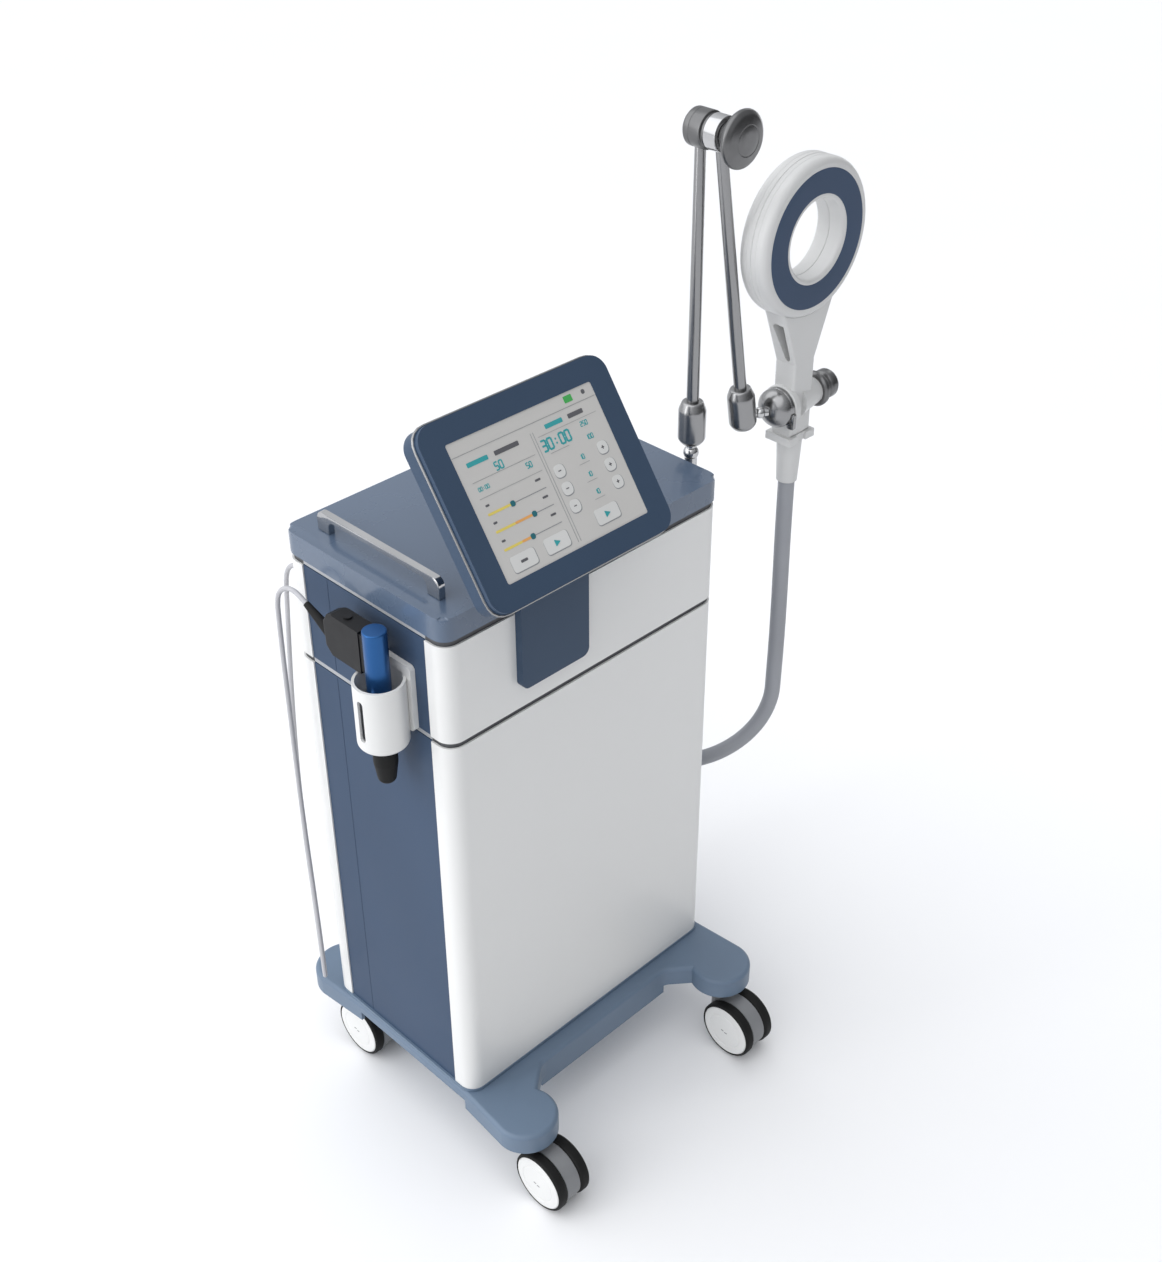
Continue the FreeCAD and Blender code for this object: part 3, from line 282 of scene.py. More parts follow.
def turned(profile, start, axis, segments=72):
    """Turns (radius, distance) points about the axis. A radius of 0 is a pole."""
    axis = axis.normalized()
    side, other = across(axis)
    shape = bmesh.new()
    rings = []
    for r, h in profile:
        centre = start + axis * h
        if r < 1e-6:
            rings.append([shape.verts.new(centre)])
            continue
        ring = []
        for k in range(segments):
            a = 2 * math.pi * k / segments
            ring.append(shape.verts.new(centre + (side * math.cos(a) + other * math.sin(a)) * r))
        rings.append(ring)
    for low, high in zip(rings, rings[1:]):
        for k in range(segments):
            corners = [
                low[k % len(low)], low[(k + 1) % len(low)],
                high[(k + 1) % len(high)], high[k % len(high)],
            ]
            unique = [v for i, v in enumerate(corners) if v not in corners[:i]]
            if len(unique) > 2:
                shape.faces.new(unique)
    return shape


def slab(outline, place, low, high, bevel=0.0, segments=2):
    """A closed outline raised from low to high; place(a, b, height) gives the point."""
    shape = bmesh.new()
    bottom = [shape.verts.new(place(a, b, low)) for a, b in outline]
    top = [shape.verts.new(place(a, b, high)) for a, b in outline]
    shape.faces.new(bottom)
    lid = shape.faces.new(top)
    count = len(outline)
    for i in range(count):
        j = (i + 1) % count
        shape.faces.new((bottom[i], bottom[j], top[j], top[i]))
    if bevel:
        bmesh.ops.bevel(
            shape, geom=list(lid.edges), offset=bevel, segments=segments, affect="EDGES", profile=0.5
        )
    return shape


def merged(shapes):
    """Several shapes as one bmesh."""
    whole = bmesh.new()
    for shape in shapes:
        scratch = bpy.data.meshes.new("scratch")
        shape.to_mesh(scratch)
        shape.free()
        whole.from_mesh(scratch)
        bpy.data.meshes.remove(scratch)
    return whole


def rounded_box_outline(width, height, radius, x=0.0, y=0.0):
    w, h = width / 2, height / 2
    corners = [(x - w, y - h), (x + w, y - h), (x + w, y + h), (x - w, y + h)]
    return [(p.x, p.y) for p in softened(corners, radius, closed=True, steps=5)]


# ---------------------------------------------------------------- cords
HOSE_DIAMETER = 0.025
HOSE_ROUTE = [
    (0.424, -0.154, 0.950),
    (0.424, -0.1543, 0.864),
    (0.4248, -0.1555, 0.777),
    (0.425, -0.1565, 0.700),
    (0.4246, -0.1568, 0.638),
    (0.4242, -0.1564, 0.589),
    (0.424, -0.156, 0.545),
    (0.4107, -0.1477, 0.502),
    (0.3857, -0.132, 0.467),
    (0.352, -0.111, 0.444),
    (0.3144, -0.0875, 0.436),
    (0.2875, -0.0707, 0.436),
]
CABLE_DIAMETER = 0.007
CABLE_ROUTE = [
    (-0.294, 0.076, 0.9575),
    (-0.294, 0.094, 0.966),
    (-0.2943, 0.1147, 0.965),
    (-0.295, 0.132, 0.954),
    (-0.2958, 0.142, 0.936),
    (-0.2963, 0.1435, 0.897),
    (-0.296, 0.146, 0.820),
    (-0.2955, 0.1475, 0.727),
    (-0.297, 0.1465, 0.632),
    (-0.2983, 0.1445, 0.537),
    (-0.298, 0.143, 0.442),
    (-0.2972, 0.1425, 0.350),
    (-0.297, 0.142, 0.268),
    (-0.297, 0.142, 0.2177),
    (-0.2889, 0.1554, 0.196),
    (-0.2758, 0.177, 0.188),
    (-0.2626, 0.1986, 0.196),
    (-0.2545, 0.212, 0.2177),
    (-0.2546, 0.2123, 0.268),
    (-0.2555, 0.212, 0.350),
    (-0.256, 0.213, 0.443),
    (-0.254, 0.2145, 0.538),
    (-0.2495, 0.216, 0.633),
    (-0.243, 0.2175, 0.727),
    (-0.235, 0.220, 0.812),
    (-0.2295, 0.2215, 0.868),
    (-0.2264, 0.2215, 0.905),
    (-0.226, 0.211, 0.9254),
    (-0.2262, 0.1926, 0.936),
    (-0.226, 0.1715, 0.936),
]


def route_line(name, route):
    """The points of the smooth NURBS line through a route."""
    curve = bpy.data.curves.new(name, "CURVE")
    curve.dimensions = "3D"
    curve.resolution_u = 24
    spline = curve.splines.new("NURBS")
    spline.points.add(len(route) - 1)
    for point, place in zip(spline.points, route):
        point.co = (*place, 1)
    spline.order_u = 3
    spline.use_endpoint_u = True
    holder = bpy.data.objects.new(name, curve)
    bpy.context.scene.collection.objects.link(holder)
    bpy.context.view_layer.update()
    mesh = bpy.data.meshes.new_from_object(holder)
    line = [v.co.copy() for v in mesh.vertices]
    bpy.data.objects.remove(holder)
    bpy.data.meshes.remove(mesh)
    return line


def lengths_along(line):
    """The distance from the line's start to each of its points."""
    total = [0.0]
    for a, b in zip(line, line[1:]):
        total.append(total[-1] + (b - a).length)
    return total


def swept(line, radius_at, segments=32):
    """A tube round a line with closed ends, whose section doesn't twist."""
    shape = bmesh.new()
    ahead = (line[1] - line[0]).normalized()
    side, _ = across(ahead)
    rings = []
    for i, point in enumerate(line):
        before = line[max(i - 1, 0)]
        after = line[min(i + 1, len(line) - 1)]
        ahead = (after - before).normalized()
        side = (side - ahead * side.dot(ahead)).normalized()
        other = ahead.cross(side)
        ring = []
        for k in range(segments):
            a = 2 * math.pi * k / segments
            ring.append(shape.verts.new(point + (side * math.cos(a) + other * math.sin(a)) * radius_at(i)))
        rings.append(ring)
    for low, high in zip(rings, rings[1:]):
        for k in range(segments):
            shape.faces.new((low[k], low[(k + 1) % segments], high[(k + 1) % segments], high[k]))
    shape.faces.new(rings[0][::-1])
    shape.faces.new(rings[-1])
    return shape


def hose():
    """Four lengths of one hose, cut evenly along its line; none of them is attached to a body."""
    line = route_line("hose_line", HOSE_ROUTE)[::-1]
    along = lengths_along(line)
    chain = ["root", "arm_lower", "arm_upper", "wrist", "applicator"]
    parts = len(chain) - 1
    for i in range(parts):
        low, high = along[-1] * i / parts, along[-1] * (i + 1) / parts
        stretch = between(line, along, low, high)
        name = f"hose_{i + 1}"
        tube = piece(name, swept(stretch, lambda _: HOSE_DIAMETER / 2), HOSE, None)
        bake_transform(tube)
        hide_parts("hose")


def between(line, along, low, high):
    """The part of a line between two distances along it."""
    inside = [p for p, s in zip(line, along) if low + 1e-4 < s < high - 1e-4]
    return [at_distance(line, along, low), *inside, at_distance(line, along, high)]


def at_distance(line, along, distance):
    """The point that far along the line."""
    for i in range(len(line) - 1):
        if along[i + 1] >= distance - 1e-9:
            t = (distance - along[i]) / (along[i + 1] - along[i])
            return line[i].lerp(line[i + 1], min(1.0, max(0.0, t)))
    return line[-1].copy()


def handpiece_cable():
    """The lead from the handpiece, as one tube along its route, attached to no body."""
    line = route_line("cable_line", CABLE_ROUTE)
    lead = piece("cable", swept(line, lambda _: CABLE_DIAMETER / 2, 20), CABLE, None)
    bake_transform(lead)
    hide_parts("handpiece_cable")


# ---------------------------------------------------------------- display
LEAN = math.radians(35.4)
DISPLAY_WIDTH = 0.246
DISPLAY_HEIGHT = 0.1845
GLASS_HALF = 0.0015
UP_SCREEN = Vector((0, math.sin(LEAN), math.cos(LEAN)))
OUT_OF_SCREEN = Vector((0, -math.cos(LEAN), math.sin(LEAN)))


def on_display(across_share, down_share, height):
    """A point on the display, by its share of the width and of the height, that far off the glass."""
    low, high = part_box("screen_glass")
    middle = (low + high) / 2 + OUT_OF_SCREEN * GLASS_HALF
    side = X * (across_share - 0.5) * DISPLAY_WIDTH
    return middle + side + UP_SCREEN * (0.5 - down_share) * DISPLAY_HEIGHT + OUT_OF_SCREEN * height


def mark(across_share, down_share, width, height, radius=0.001, lift=0.0003):
    """A flat raised mark on the display, with its size in metres."""
    outline = rounded_box_outline(width, height, radius)

    def place(a, b, off):
        return on_display(across_share + a / DISPLAY_WIDTH, down_share - b / DISPLAY_HEIGHT, off)

    return slab(outline, place, 0.00002, lift, 0.0001, 1)


def digits(text, across_share, down_share, height):
    """Seven-segment figures centred on a place."""
    on = {
        "0": "abcdef", "1": "bc", "2": "abged", "3": "abgcd", "4": "fgbc", "5": "afgcd", "8": "abcdefg",
    }
    width = height * 0.5
    stroke = height * 0.19
    bars = {
        "a": (0, 0.5, 1), "g": (0, 0, 1), "d": (0, -0.5, 1),
        "f": (-0.5, 0.25, 0), "b": (0.5, 0.25, 0), "e": (-0.5, -0.25, 0), "c": (0.5, -0.25, 0),
    }
    shapes = []
    pitch = width * 1.45
    for i, figure in enumerate(text):
        x = (i - (len(text) - 1) / 2) * pitch
        if figure == ":":
            spots = [(0, 0.2), (0, -0.2)]
            sizes = [(stroke, stroke)] * 2
        else:
            spots = [bars[s][:2] for s in on[figure]]
            sizes = [(width, stroke) if bars[s][2] else (stroke, height * 0.5) for s in on[figure]]
        for (bx, by), (w, h) in zip(spots, sizes):
            u = across_share + (x + bx * width) / DISPLAY_WIDTH
            v = down_share - by * height / DISPLAY_HEIGHT
            shapes.append(mark(u, v, w, h, stroke * 0.4))
    return shapes


def triangle(across_share, down_share, size):
    """A small raised triangle that points to the right."""
    outline = [(p.x, p.y) for p in softened([(-0.4, -0.5), (0.6, 0), (-0.4, 0.5)], 0.1, closed=True)]

    def place(a, b, off):
        u = across_share + a * size / DISPLAY_WIDTH
        v = down_share - b * size / DISPLAY_HEIGHT
        return on_display(u, v, off)

    return slab(outline, place, 0.0004, 0.0008)


def stretch_of(first, last, down_share, height):
    """A mark from one share of the display's width to another."""
    return mark((first + last) / 2, down_share, (last - first) * DISPLAY_WIDTH, height)


def readings(marks):
    """Headings as plain bars, the figures under them, a round dot and the battery."""
    marks["teal"] += [mark(0.14, 0.18, 0.034, 0.006), mark(0.67, 0.16, 0.030, 0.006)]
    for text, u, v, height in (
        ("50", 0.25, 0.26, 0.010),
        ("30:00", 0.64, 0.275, 0.014),
        ("00:00", 0.11, 0.355, 0.005),
        ("50", 0.42, 0.345, 0.007),
        ("250", 0.85, 0.245, 0.006),
        ("100", 0.85, 0.345, 0.006),
    ):
        marks["teal"] += digits(text, u, v, height)
    marks["dark"] += [mark(0.335, 0.18, 0.040, 0.006), mark(0.825, 0.16, 0.026, 0.006)]
    marks["dark"].append(mark(0.93, 0.045, 0.006, 0.006, 0.003))
    marks["battery"].append(mark(0.82, 0.048, 0.014, 0.009, 0.001))


def dividers(marks):
    """Hairlines under the headings and figures, and two down the middle."""
    for u, v, width, height in (
        (0.5, 0.10, DISPLAY_WIDTH * 0.985, 0.0007),
        (0.27, 0.30, 0.104, 0.0005),
        (0.27, 0.415, 0.104, 0.0005),
        (0.75, 0.205, 0.102, 0.0005),
        (0.64, 0.34, 0.032, 0.0005),
        (0.505, 0.56, 0.0006, 0.148),
        (0.522, 0.56, 0.0006, 0.148),
    ):
        marks["lines"].append(mark(u, v, width, height))


def sliders(marks):
    """Three tracks with a knob each, coloured up to the knob, and two short labels over each."""
    left, right = 0.065, 0.46
    track, colour_bar = 0.0011, 0.0032
    for v, knob, yellow_share in ((0.53, 0.23, 1.0), (0.655, 0.325, 0.5), (0.785, 0.26, 0.62)):
        split = left + (knob - left) * yellow_share
        marks["lines"].append(stretch_of(knob, right, v, track))
        marks["yellow"].append(stretch_of(left, split, v, colour_bar))
        if split < knob:
            marks["orange"].append(stretch_of(split, knob, v, colour_bar))
        marks["knobs"].append(mark(knob, v, 0.0075, 0.0075, 0.0037, 0.0006))
        marks["dark"].append(mark(0.085, v - 0.06, 0.006, 0.0028))
        marks["dark"].append(mark(0.43, v - 0.07, 0.009, 0.0028))


def steppers(marks):
    """Three rows of a minus button, a figure and a plus button."""
    minus, figure, plus = 0.58, 0.75, 0.90
    rise = 0.02
    for v in (0.47, 0.60, 0.73):
        for u, height in ((minus, v), (plus, v - rise)):
            marks["lines"].append(mark(u + 0.002, height + 0.004, 0.0185, 0.0185, 0.0092, 0.0002))
            marks["buttons"].append(mark(u, height, 0.017, 0.017, 0.0085, 0.0005))
            marks["dark"].append(mark(u, height, 0.005, 0.0013, 0.0006, 0.0008))
        marks["dark"].append(mark(plus, v - rise, 0.0013, 0.005, 0.0006, 0.0008))
        marks["teal"] += digits("10", figure, v - rise, 0.006)
        marks["lines"].append(mark(figure, v + 0.025, 0.018, 0.0005))


def wide_buttons(marks):
    """A button with a bar and two with a triangle, along the bottom."""
    bar, left, right = (0.15, 0.90), (0.38, 0.895), (0.75, 0.875)
    for u, v in (bar, left, right):
        marks["lines"].append(mark(u + 0.002, v + 0.004, 0.0415, 0.0225, 0.0055, 0.0002))
        marks["buttons"].append(mark(u, v, 0.040, 0.021, 0.005, 0.0004))
    marks["teal"] += [triangle(*left, 0.009), triangle(*right, 0.009)]
    marks["dark"].append(mark(*bar, 0.011, 0.0035, lift=0.0008))


def display():
    """Everything on the display, as one piece for each tone."""
    tones = {
        "teal": shining("display_teal", (0.03, 0.32, 0.34), 0.05),
        "dark": shining("display_dark", (0.10, 0.10, 0.11), 0.02),
        "lines": shining("display_line", (0.25, 0.26, 0.27), 0.05),
        "buttons": shining("display_pale", (0.60, 0.60, 0.59), 0.10),
        "yellow": shining("display_yellow", (0.68, 0.55, 0.12), 0.08),
        "orange": shining("display_orange", (0.70, 0.34, 0.10), 0.08),
        "battery": shining("display_green", (0.05, 0.36, 0.08), 0.08),
        "knobs": shining("display_deep_teal", (0.012, 0.13, 0.16), 0.04),
    }
    marks = {name: [] for name in tones}
    for fill in (readings, dividers, sliders, steppers, wide_buttons):
        fill(marks)
    for name, finish in tones.items():
        made = piece(f"display_{name}", merged(marks[name]), finish, "screen")


# ---------------------------------------------------------------- arm
ARM_FOOT = Vector((0.281, -0.088, 0))
ELBOW = Vector((0.275, -0.091, 1.5))
WRIST_END = Vector((0.3415, -0.133, 1.061))
CLAMP = Vector((0.424, -0.154, 1.082))
BARREL_RADIUS = 0.020
BARREL_LOW, BARREL_HIGH = 1.041, 1.108
WRIST_LENGTH = 0.065
ROD_OFFSET = 0.033
DRUM_BACK = 0.014
COLLAR_START = 0.0235
KNOB_START = 0.044
CUP_FACE, CUP_DEPTH, CUP_RADIUS = 0.0284, 0.026, 0.029


def swap(name, node, profile, start, axis, finish, body, rounding=0.0012, segments=72):
    """A closely turned piece in place of a CAD node, with its profile's corners eased."""
    shape = turned(softened(profile, rounding, steps=4), start, axis, segments)
    made = piece(name, shape, finish, body)
    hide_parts(node)
    return made


def arc(radius, centre, first, last, steps=12):
    """Profile points on a circle about a place on the axis, between two angles in degrees."""
    points = []
    for i in range(steps + 1):
        a = math.radians(first + (last - first) * i / steps)
        points.append((radius * math.cos(a), centre + radius * math.sin(a)))
    return points


def arm():
    """The arm's stud and ball, its two rods, and the drum, collar and knob at the elbow."""
    foot = [
        (0, 0.936), (0.008, 0.936), (0.008, 0.986), (0.012, 0.986), (0.012, 0.993), (0.0094, 0.995),
        *arc(0.0115, 1.026, -35, 52), (0.007, BARREL_LOW), (0, BARREL_LOW),
    ]
    swap("stud", "arm_stud", foot, ARM_FOOT, Z, CHROME, "arm_lower", 0.0006)
    height = BARREL_HIGH - BARREL_LOW
    r = BARREL_RADIUS
    barrel = [(0, 0), (r - 0.006, 0), (r, 0.008), (r, height - 0.013), (0.015, height), (0, height)]
    barrel_foot = ARM_FOOT + Z * BARREL_LOW
    swap("lower_barrel", "arm_lower_barrel", barrel, barrel_foot, Z, SATIN, "arm_lower", 0.003)
    run = ELBOW - ARM_FOOT - Z * BARREL_HIGH
    shaft = [(0, 0), (0.009, 0), (0.0076, run.length - 0.024), (0, run.length - 0.024)]
    swap("lower_rod", "arm_lower_rod", shaft, ARM_FOOT + Z * BARREL_HIGH, run, SATIN, "arm_lower")
    drum = [
        (0, 0), (0.0205, 0), (0.0255, 0.005), (0.0255, 0.013), (0.0249, 0.0135), (0.0255, 0.014),
        (0.0255, 0.032), (0.0215, 0.033), (0.0215, 0.0374), (0, 0.0374),
    ]
    swap("drum", "elbow_drum", drum, ELBOW + Y * DRUM_BACK, -Y, BRUSHED, "arm_lower", 0.0015)
    collar = [(0.006, 0), (0.0235, 0), (0.024, 0.0008), (0.024, 0.0198), (0.0235, 0.0204), (0.006, 0.0204)]
    swap("collar", "arm_upper_rod", collar, ELBOW - Y * COLLAR_START, -Y, CHROME, "arm_upper", 0.0004)
    top = ELBOW - Y * ROD_OFFSET
    run = WRIST_END - top
    end = run.length - WRIST_LENGTH
    shaft = [(0, 0.022), (0.0081, 0.022), (0.0092, end), (0.006, end), (0.006, end + 0.03), (0, end + 0.03)]
    swap("upper_rod", "arm_upper_rod", shaft, top, run, SATIN, "arm_upper", 0.0004)
    knob = [
        (0, 0), (0.018, 0), (0.018, 0.007), (0.022, 0.010), (0.033, 0.0175), (0.0375, 0.022),
        (0.0385, 0.0255), (0.0375, 0.0285), (0.032, 0.033), (0.0205, 0.0362), (0.0198, 0.0355),
        (0.0190, 0.0364), (0.012, 0.0378), (0, 0.0385),
    ]
    swap("knob", "elbow_knob", knob, ELBOW - Y * KNOB_START, -Y, BRUSHED, "elbow_knob", 0.0022)


def wrist():
    """The barrel on the upper rod's end, the ball beside it, and the dome with its screwed lug."""
    run = (WRIST_END - ELBOW + Y * ROD_OFFSET).normalized()
    n = WRIST_LENGTH
    r = BARREL_RADIUS
    barrel = [(0.0062, 0), (0.015, 0), (r, 0.013), (r, n - 0.008), (r - 0.005, n), (0, n)]
    swap("wrist_barrel_turned", "wrist_barrel", barrel, WRIST_END - run * n, run, SATIN, "wrist", 0.003)
    back = CLAMP - X * (CUP_FACE + CUP_DEPTH)
    middle = WRIST_END - run * ((back.z - WRIST_END.z) / -run.z)
    neck = back - middle
    link = [
        (0, 0.013), (0.006, 0.013), (0.006, 0.019), *arc(0.0085, 0.026, -45, 45), (0.006, neck.length),
        (0, neck.length),
    ]
    swap("wrist_link", "wrist_cup", link, middle, neck, CHROME, "wrist", 0.0004)
    dome = [(CUP_RADIUS * math.sin(a), 0.017 - 0.019 * math.cos(a)) for a in
            (math.pi / 2 * i / 16 for i in range(17))]
    dome += [(CUP_RADIUS, 0.0195), (0.0282, 0.0202), (CUP_RADIUS, 0.0209)]
    dome += [(CUP_RADIUS, CUP_DEPTH), (0, CUP_DEPTH)]
    swap("wrist_dome", "wrist_cup", dome, back, X, SATIN, "wrist", 0.0004)
    outline = rounded_box_outline(0.012, 0.024, 0.002)
    corner = CLAMP - X * (CUP_FACE + 0.0005) + Vector((0, -0.026, -0.014))
    lug = slab(outline, lambda a, b, off: corner + Y * a + Z * b - X * off, 0, 0.006, 0.0008)
    ears = piece("wrist_lug", lug, SATIN, "wrist")
    heads = [
        turned([(0, 0), (0.0028, 0), (0.0028, 0.0012), (0.0014, 0.0014), (0, 0.0008)],
               corner + Z * dz - X * 0.0058, -X, 20)
        for dz in (-0.006, 0.006)
    ]
    screws = piece("wrist_lug_screws", merged(heads), BRUSHED, "wrist")


def clamp():
    """The clamp's knob: a wide band, a waist and a smaller end, with one fine ring groove on the end's
    face.
    """
    profile = [
        (0, -0.019), (0.0039, -0.019), (0.0039, 0), (0.0235, 0), (0.027, 0.003), (0.027, 0.008),
        (0.024, 0.011), (0.017, 0.013), (0.017, 0.019), (0.021, 0.0215), (0.022, 0.025), (0.022, 0.0335),
        (0.019, 0.038), (0.013, 0.0378), (0.0125, 0.0372), (0.012, 0.0378), (0, 0.038),
    ]
    start = CLAMP + X * 0.0463
    swap("clamp_knob_turned", "clamp_knob", profile, start, X, BRUSHED, "clamp_knob", 0.001)


# ---------------------------------------------------------------- ring and nozzle
RING_CENTRE = Vector((0.424, -0.154, 1.331))
RING_RADIUS, RING_HOLE, RING_HALF_DEPTH = 0.112, 0.056, 0.024
PAD_OUTER, PAD_INNER, PAD_START = 0.098, 0.063, 0.0225
NOZZLE_TIP = Vector((-0.294, -0.070, 0.738))


def ring():
    """The ring's two halves, with the groove where they meet, a fine line round each and the pad."""
    for name, node, way in (("front", "ring_shell_front", -Y), ("back", "ring_shell_back", Y)):
        d = RING_HALF_DEPTH
        mouth, outer, inner = 0.0009, 0.011, 0.005
        rim = [(RING_RADIUS - outer + outer * math.cos(a), d - outer + outer * math.sin(a))
               for a in (math.pi / 2 * i / 8 for i in range(9))]
        lip = [(RING_HOLE + inner - inner * math.sin(a), d - inner + inner * math.cos(a))
               for a in (math.pi / 2 * i / 6 for i in range(7))]
        step = 0.0072
        profile = [
            (RING_HOLE + mouth, 0), (RING_RADIUS - mouth, 0), (RING_RADIUS - mouth, 0.0005),
            (RING_RADIUS, 0.0012), (RING_RADIUS, step),
            (RING_RADIUS - 0.0005, step + 0.0005), (RING_RADIUS, step + 0.001),
            *rim, *lip, (RING_HOLE, 0.0012), (RING_HOLE + mouth, 0.0005), (RING_HOLE + mouth, 0),
        ]
        swap(f"ring_{name}", node, profile, RING_CENTRE, way, LIGHT_PLASTIC, "applicator", 0.0002, 120)
    pad = [
        (PAD_INNER, 0), (PAD_OUTER, 0), (PAD_OUTER, 0.0015), (0.0972, 0.0021),
        (0.0638, 0.0021), (PAD_INNER, 0.0015), (PAD_INNER, 0),
    ]
    swap("pad", "ring_pad", pad, RING_CENTRE - Y * PAD_START, -Y, PAD, "applicator", 0.0003, 120)


def nozzle():
    """The handpiece's tip: a short cylinder that tapers into a blunt dome."""
    dome = [(0.0132 * math.sin(a), 0.010 - 0.010 * math.cos(a))
            for a in (math.pi / 2 * i / 8 for i in range(9))]
    profile = [*dome, (0.0155, 0.026), (0.0168, 0.034), (0.017, 0.040), (0.017, 0.063), (0, 0.063)]
    swap("nozzle", "handpiece_nozzle", profile, NOZZLE_TIP, Z, RUBBER, "handpiece", 0.001, 48)


# ---------------------------------------------------------------- lid and trims
def lid():
    """The lid as one smooth moulding with a rounded upper edge, hollow underneath in the CAD."""
    low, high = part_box("lid")
    outline = [(p.x, p.y) for p in softened(
        [(low.x, low.y), (high.x, low.y), (high.x, high.y), (low.x, high.y)], 0.025, closed=True, steps=10)]
    shape = slab(outline, lambda a, b, off: Vector((a, b, low.z + off)), 0, high.z - low.z, 0.006, 6)
    made = piece("lid_skin", shape, LID, "root", 30)
    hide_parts("lid")


def lid_handle():
    """The lid's chrome bow, cut from flat bar, with two wide feet and rounded shoulders."""
    low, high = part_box("lid_handle")
    foot = 0.024
    bar = 0.0085
    outer = [(low.y, low.z), (low.y, high.z), (high.y, high.z), (high.y, low.z)]
    gap_top = high.z - bar
    near, far = low.y + foot, high.y - foot
    inner = [(far, low.z), (far, gap_top), (near, gap_top), (near, low.z)]
    outline = [(p.x, p.y) for p in (*softened(outer, 0.016, steps=8), *softened(inner, 0.008, steps=5))]
    shape = slab(outline, lambda a, b, off: Vector((high.x - off, a, b)), 0, high.x - low.x, 0.0015, 3)
    made = piece("lid_bow", shape, CHROME, "root", 30)
    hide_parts("lid_handle")


def end_trims():
    """Lines of painted highlight along the seams on the lit left end, and a fine upright groove on its
    panels.
    """
    low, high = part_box("left_end_panels")
    face = low.x
    sunk = 0.0016
    lines = []
    for z0, z1 in ((0.8195, 0.8265), (0.9810, 0.9880)):
        outline = [(low.y, z0), (high.y, z0), (high.y, z1), (low.y, z1)]
        shape = slab(outline, lambda a, b, off: Vector((face + sunk - off, a, b)), 0, 0.0010, 0.0003, 1)
        lines.append(shape)
    # these light seam strips are a painted highlight on the lit left end, over the dark seam bands
    piece("seam_highlight_lines", merged(lines), SEAM_HIGHLIGHT_PAINT, "root")
    grooves = []
    for z0, z1 in ((0.160, 0.8175), (0.828, 0.979)):
        outline = [(0.0745, z0), (0.0757, z0), (0.0757, z1), (0.0745, z1)]
        grooves.append(slab(outline, lambda a, b, off: Vector((face - off, a, b)), 0, 0.0002))
    piece("panel_groove", merged(grooves), GROOVE_BLUE, "root")


def screen_rim():
    """A light metal line round the screen, between its front and its back."""
    low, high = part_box("screen_glass")
    centre = (low + high) / 2 - OUT_OF_SCREEN * 0.0075
    outline = rounded_box_outline(0.3175, 0.2485, 0.027)
    line = [centre + X * a + UP_SCREEN * b for a, b in outline]
    made = piece("screen_rim", swept([*line, line[0], line[1]], lambda _: 0.0021, 16), SATIN, "screen")


# ---------------------------------------------------------------- castors
def castor_wheels():
    """White discs with one shallow groove and a small raised bar, black tyres, and the axle's cap."""
    for side in ("front_left", "front_right", "rear_left", "rear_right"):
        node = f"castor_{side}_wheels"
        low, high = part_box(node)
        hub = (low + high) / 2
        outer = (high.x - low.x) / 2
        tyre_radius = (high.z - low.z) / 2
        inner = 0.014
        rim = 0.0455
        discs, tyres = [], []
        for sign in (-1, 1):
            out = X * sign
            face = outer - 0.0006
            profile = [
                (0, inner), (rim, inner), (rim, face - 0.0035), (rim - 0.002, face - 0.0018),
                (0.032, face - 0.0008), (0.0312, face - 0.0018), (0.0304, face - 0.0008),
                (0.012, face), (0, face + 0.0004),
            ]
            discs.append(turned(softened(profile, 0.0006, steps=3), hub, out))
            tread = [
                (rim, inner), (tyre_radius - 0.003, inner), (tyre_radius, inner + 0.003),
                (tyre_radius, face - 0.005), (tyre_radius - 0.003, face - 0.002),
                (rim, face - 0.002), (rim, inner),
            ]
            tyres.append(turned(softened(tread, 0.0018, steps=4), hub, out))
        disc = piece(f"castor_{side}_discs", merged(discs), WHITE, f"castor_{side}_wheel")
        tyre = piece(f"castor_{side}_tyres", merged(tyres), RUBBER, f"castor_{side}_wheel")
        for made in (disc, tyre):
            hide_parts(node)
        dashes = []
        for sign in (-1, 1):
            for dx in (-0.0035, 0.0035):
                outline = rounded_box_outline(0.0055, 0.0014, 0.0006, dx, dx * 0.25)
                dashes.append(slab(
                    outline, lambda a, b, off, s=sign: hub + Y * a + Z * b + X * s * off,
                    outer - 0.0012, outer - 0.0001,
                ))
        piece(f"castor_{side}_marks", merged(dashes), TRIM, f"castor_{side}_wheel")


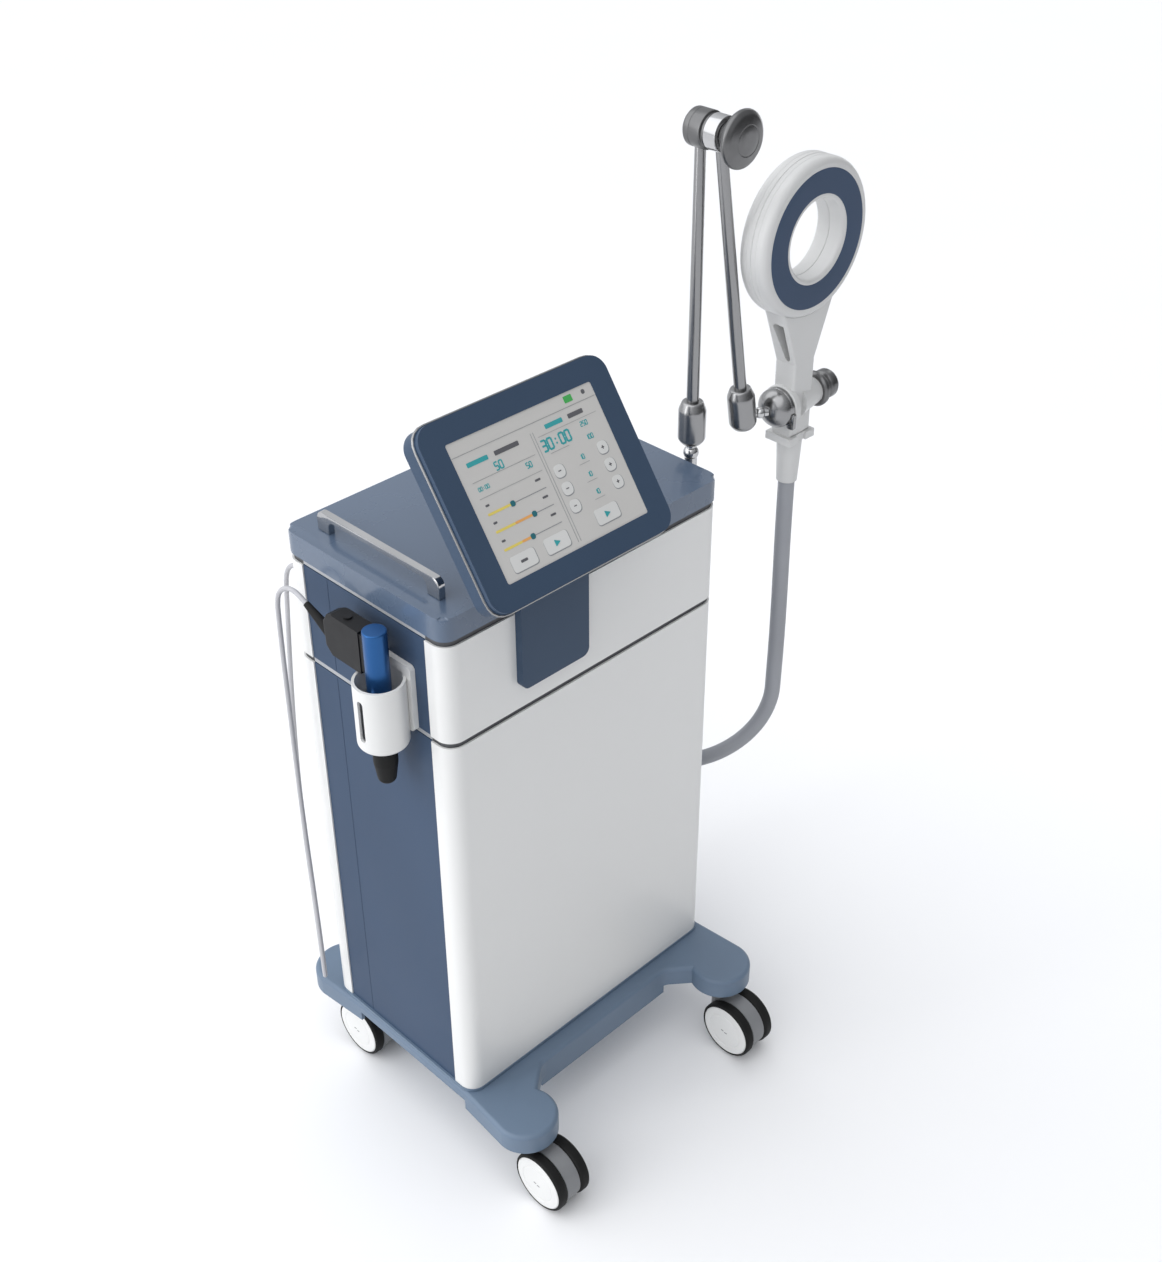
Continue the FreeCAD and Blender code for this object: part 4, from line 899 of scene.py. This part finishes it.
# ---------------------------------------------------------------- studio
def studio():
    """A pale floor, a broad sun, a soft sky and two upright strip lights."""
    floor = bpy.data.meshes.new("floor")
    reach = 12.0
    corners = [(-reach, -reach, 0), (reach, -reach, 0), (reach, reach, 0), (-reach, reach, 0)]
    floor.from_pydata(corners, [], [(0, 1, 2, 3)])
    plane = bpy.data.objects.new("floor", floor)
    bpy.context.scene.collection.objects.link(plane)
    floor.materials.append(FLOOR)
    sky()
    sun = bpy.data.lights.new("sun", "SUN")
    sun.energy = 1.35
    sun.angle = math.radians(100)
    shining_down = bpy.data.objects.new("sun", sun)
    shining_down.rotation_euler = Vector((0.60, -0.22, -0.77)).to_track_quat("-Z", "Y").to_euler()
    bpy.context.scene.collection.objects.link(shining_down)
    lamp("strip_left", (-2.1, 0.7, 1.6), (0, 0, 1.0), (0.35, 2.4), 9)
    lamp("strip_right", (2.2, 0.3, 1.6), (0.2, 0, 1.1), (0.3, 2.4), 4)
    bpy.context.scene.view_settings.view_transform = "Standard"


def sky():
    """A soft sky, bright above and behind the left end, and dim before the front."""
    world = bpy.data.worlds.new("studio")
    bpy.context.scene.world = world
    world.use_nodes = True
    tree = world.node_tree
    direction = tree.nodes.new("ShaderNodeTexCoord")
    towards = tree.nodes.new("ShaderNodeVectorMath")
    towards.operation = "DOT_PRODUCT"
    towards.inputs[1].default_value = Vector((-0.5, 0.5, 0.7)).normalized()
    brightness = tree.nodes.new("ShaderNodeMapRange")
    brightness.inputs["From Min"].default_value = -0.75
    brightness.inputs["To Min"].default_value = 0.03
    brightness.inputs["To Max"].default_value = 1.25
    background = tree.nodes["Background"]
    background.inputs["Color"].default_value = (0.95, 0.97, 1.0, 1)
    tree.links.new(direction.outputs["Generated"], towards.inputs[0])
    tree.links.new(towards.outputs["Value"], brightness.inputs["Value"])
    tree.links.new(brightness.outputs["Result"], background.inputs["Strength"])


def lamp(name, place, target, size, power):
    """A rectangular lamp that faces a point."""
    light = bpy.data.lights.new(name, "AREA")
    light.shape = "RECTANGLE"
    light.size, light.size_y = size
    light.energy = power
    obj = bpy.data.objects.new(name, light)
    obj.location = place
    obj.rotation_euler = (Vector(target) - Vector(place)).to_track_quat("-Z", "Y").to_euler()
    bpy.context.scene.collection.objects.link(obj)


camera()
hose()
handpiece_cable()
finish_nodes()
display()
arm()
wrist()
clamp()
ring()
nozzle()
lid()
lid_handle()
end_trims()
screen_rim()
castor_wheels()
studio()
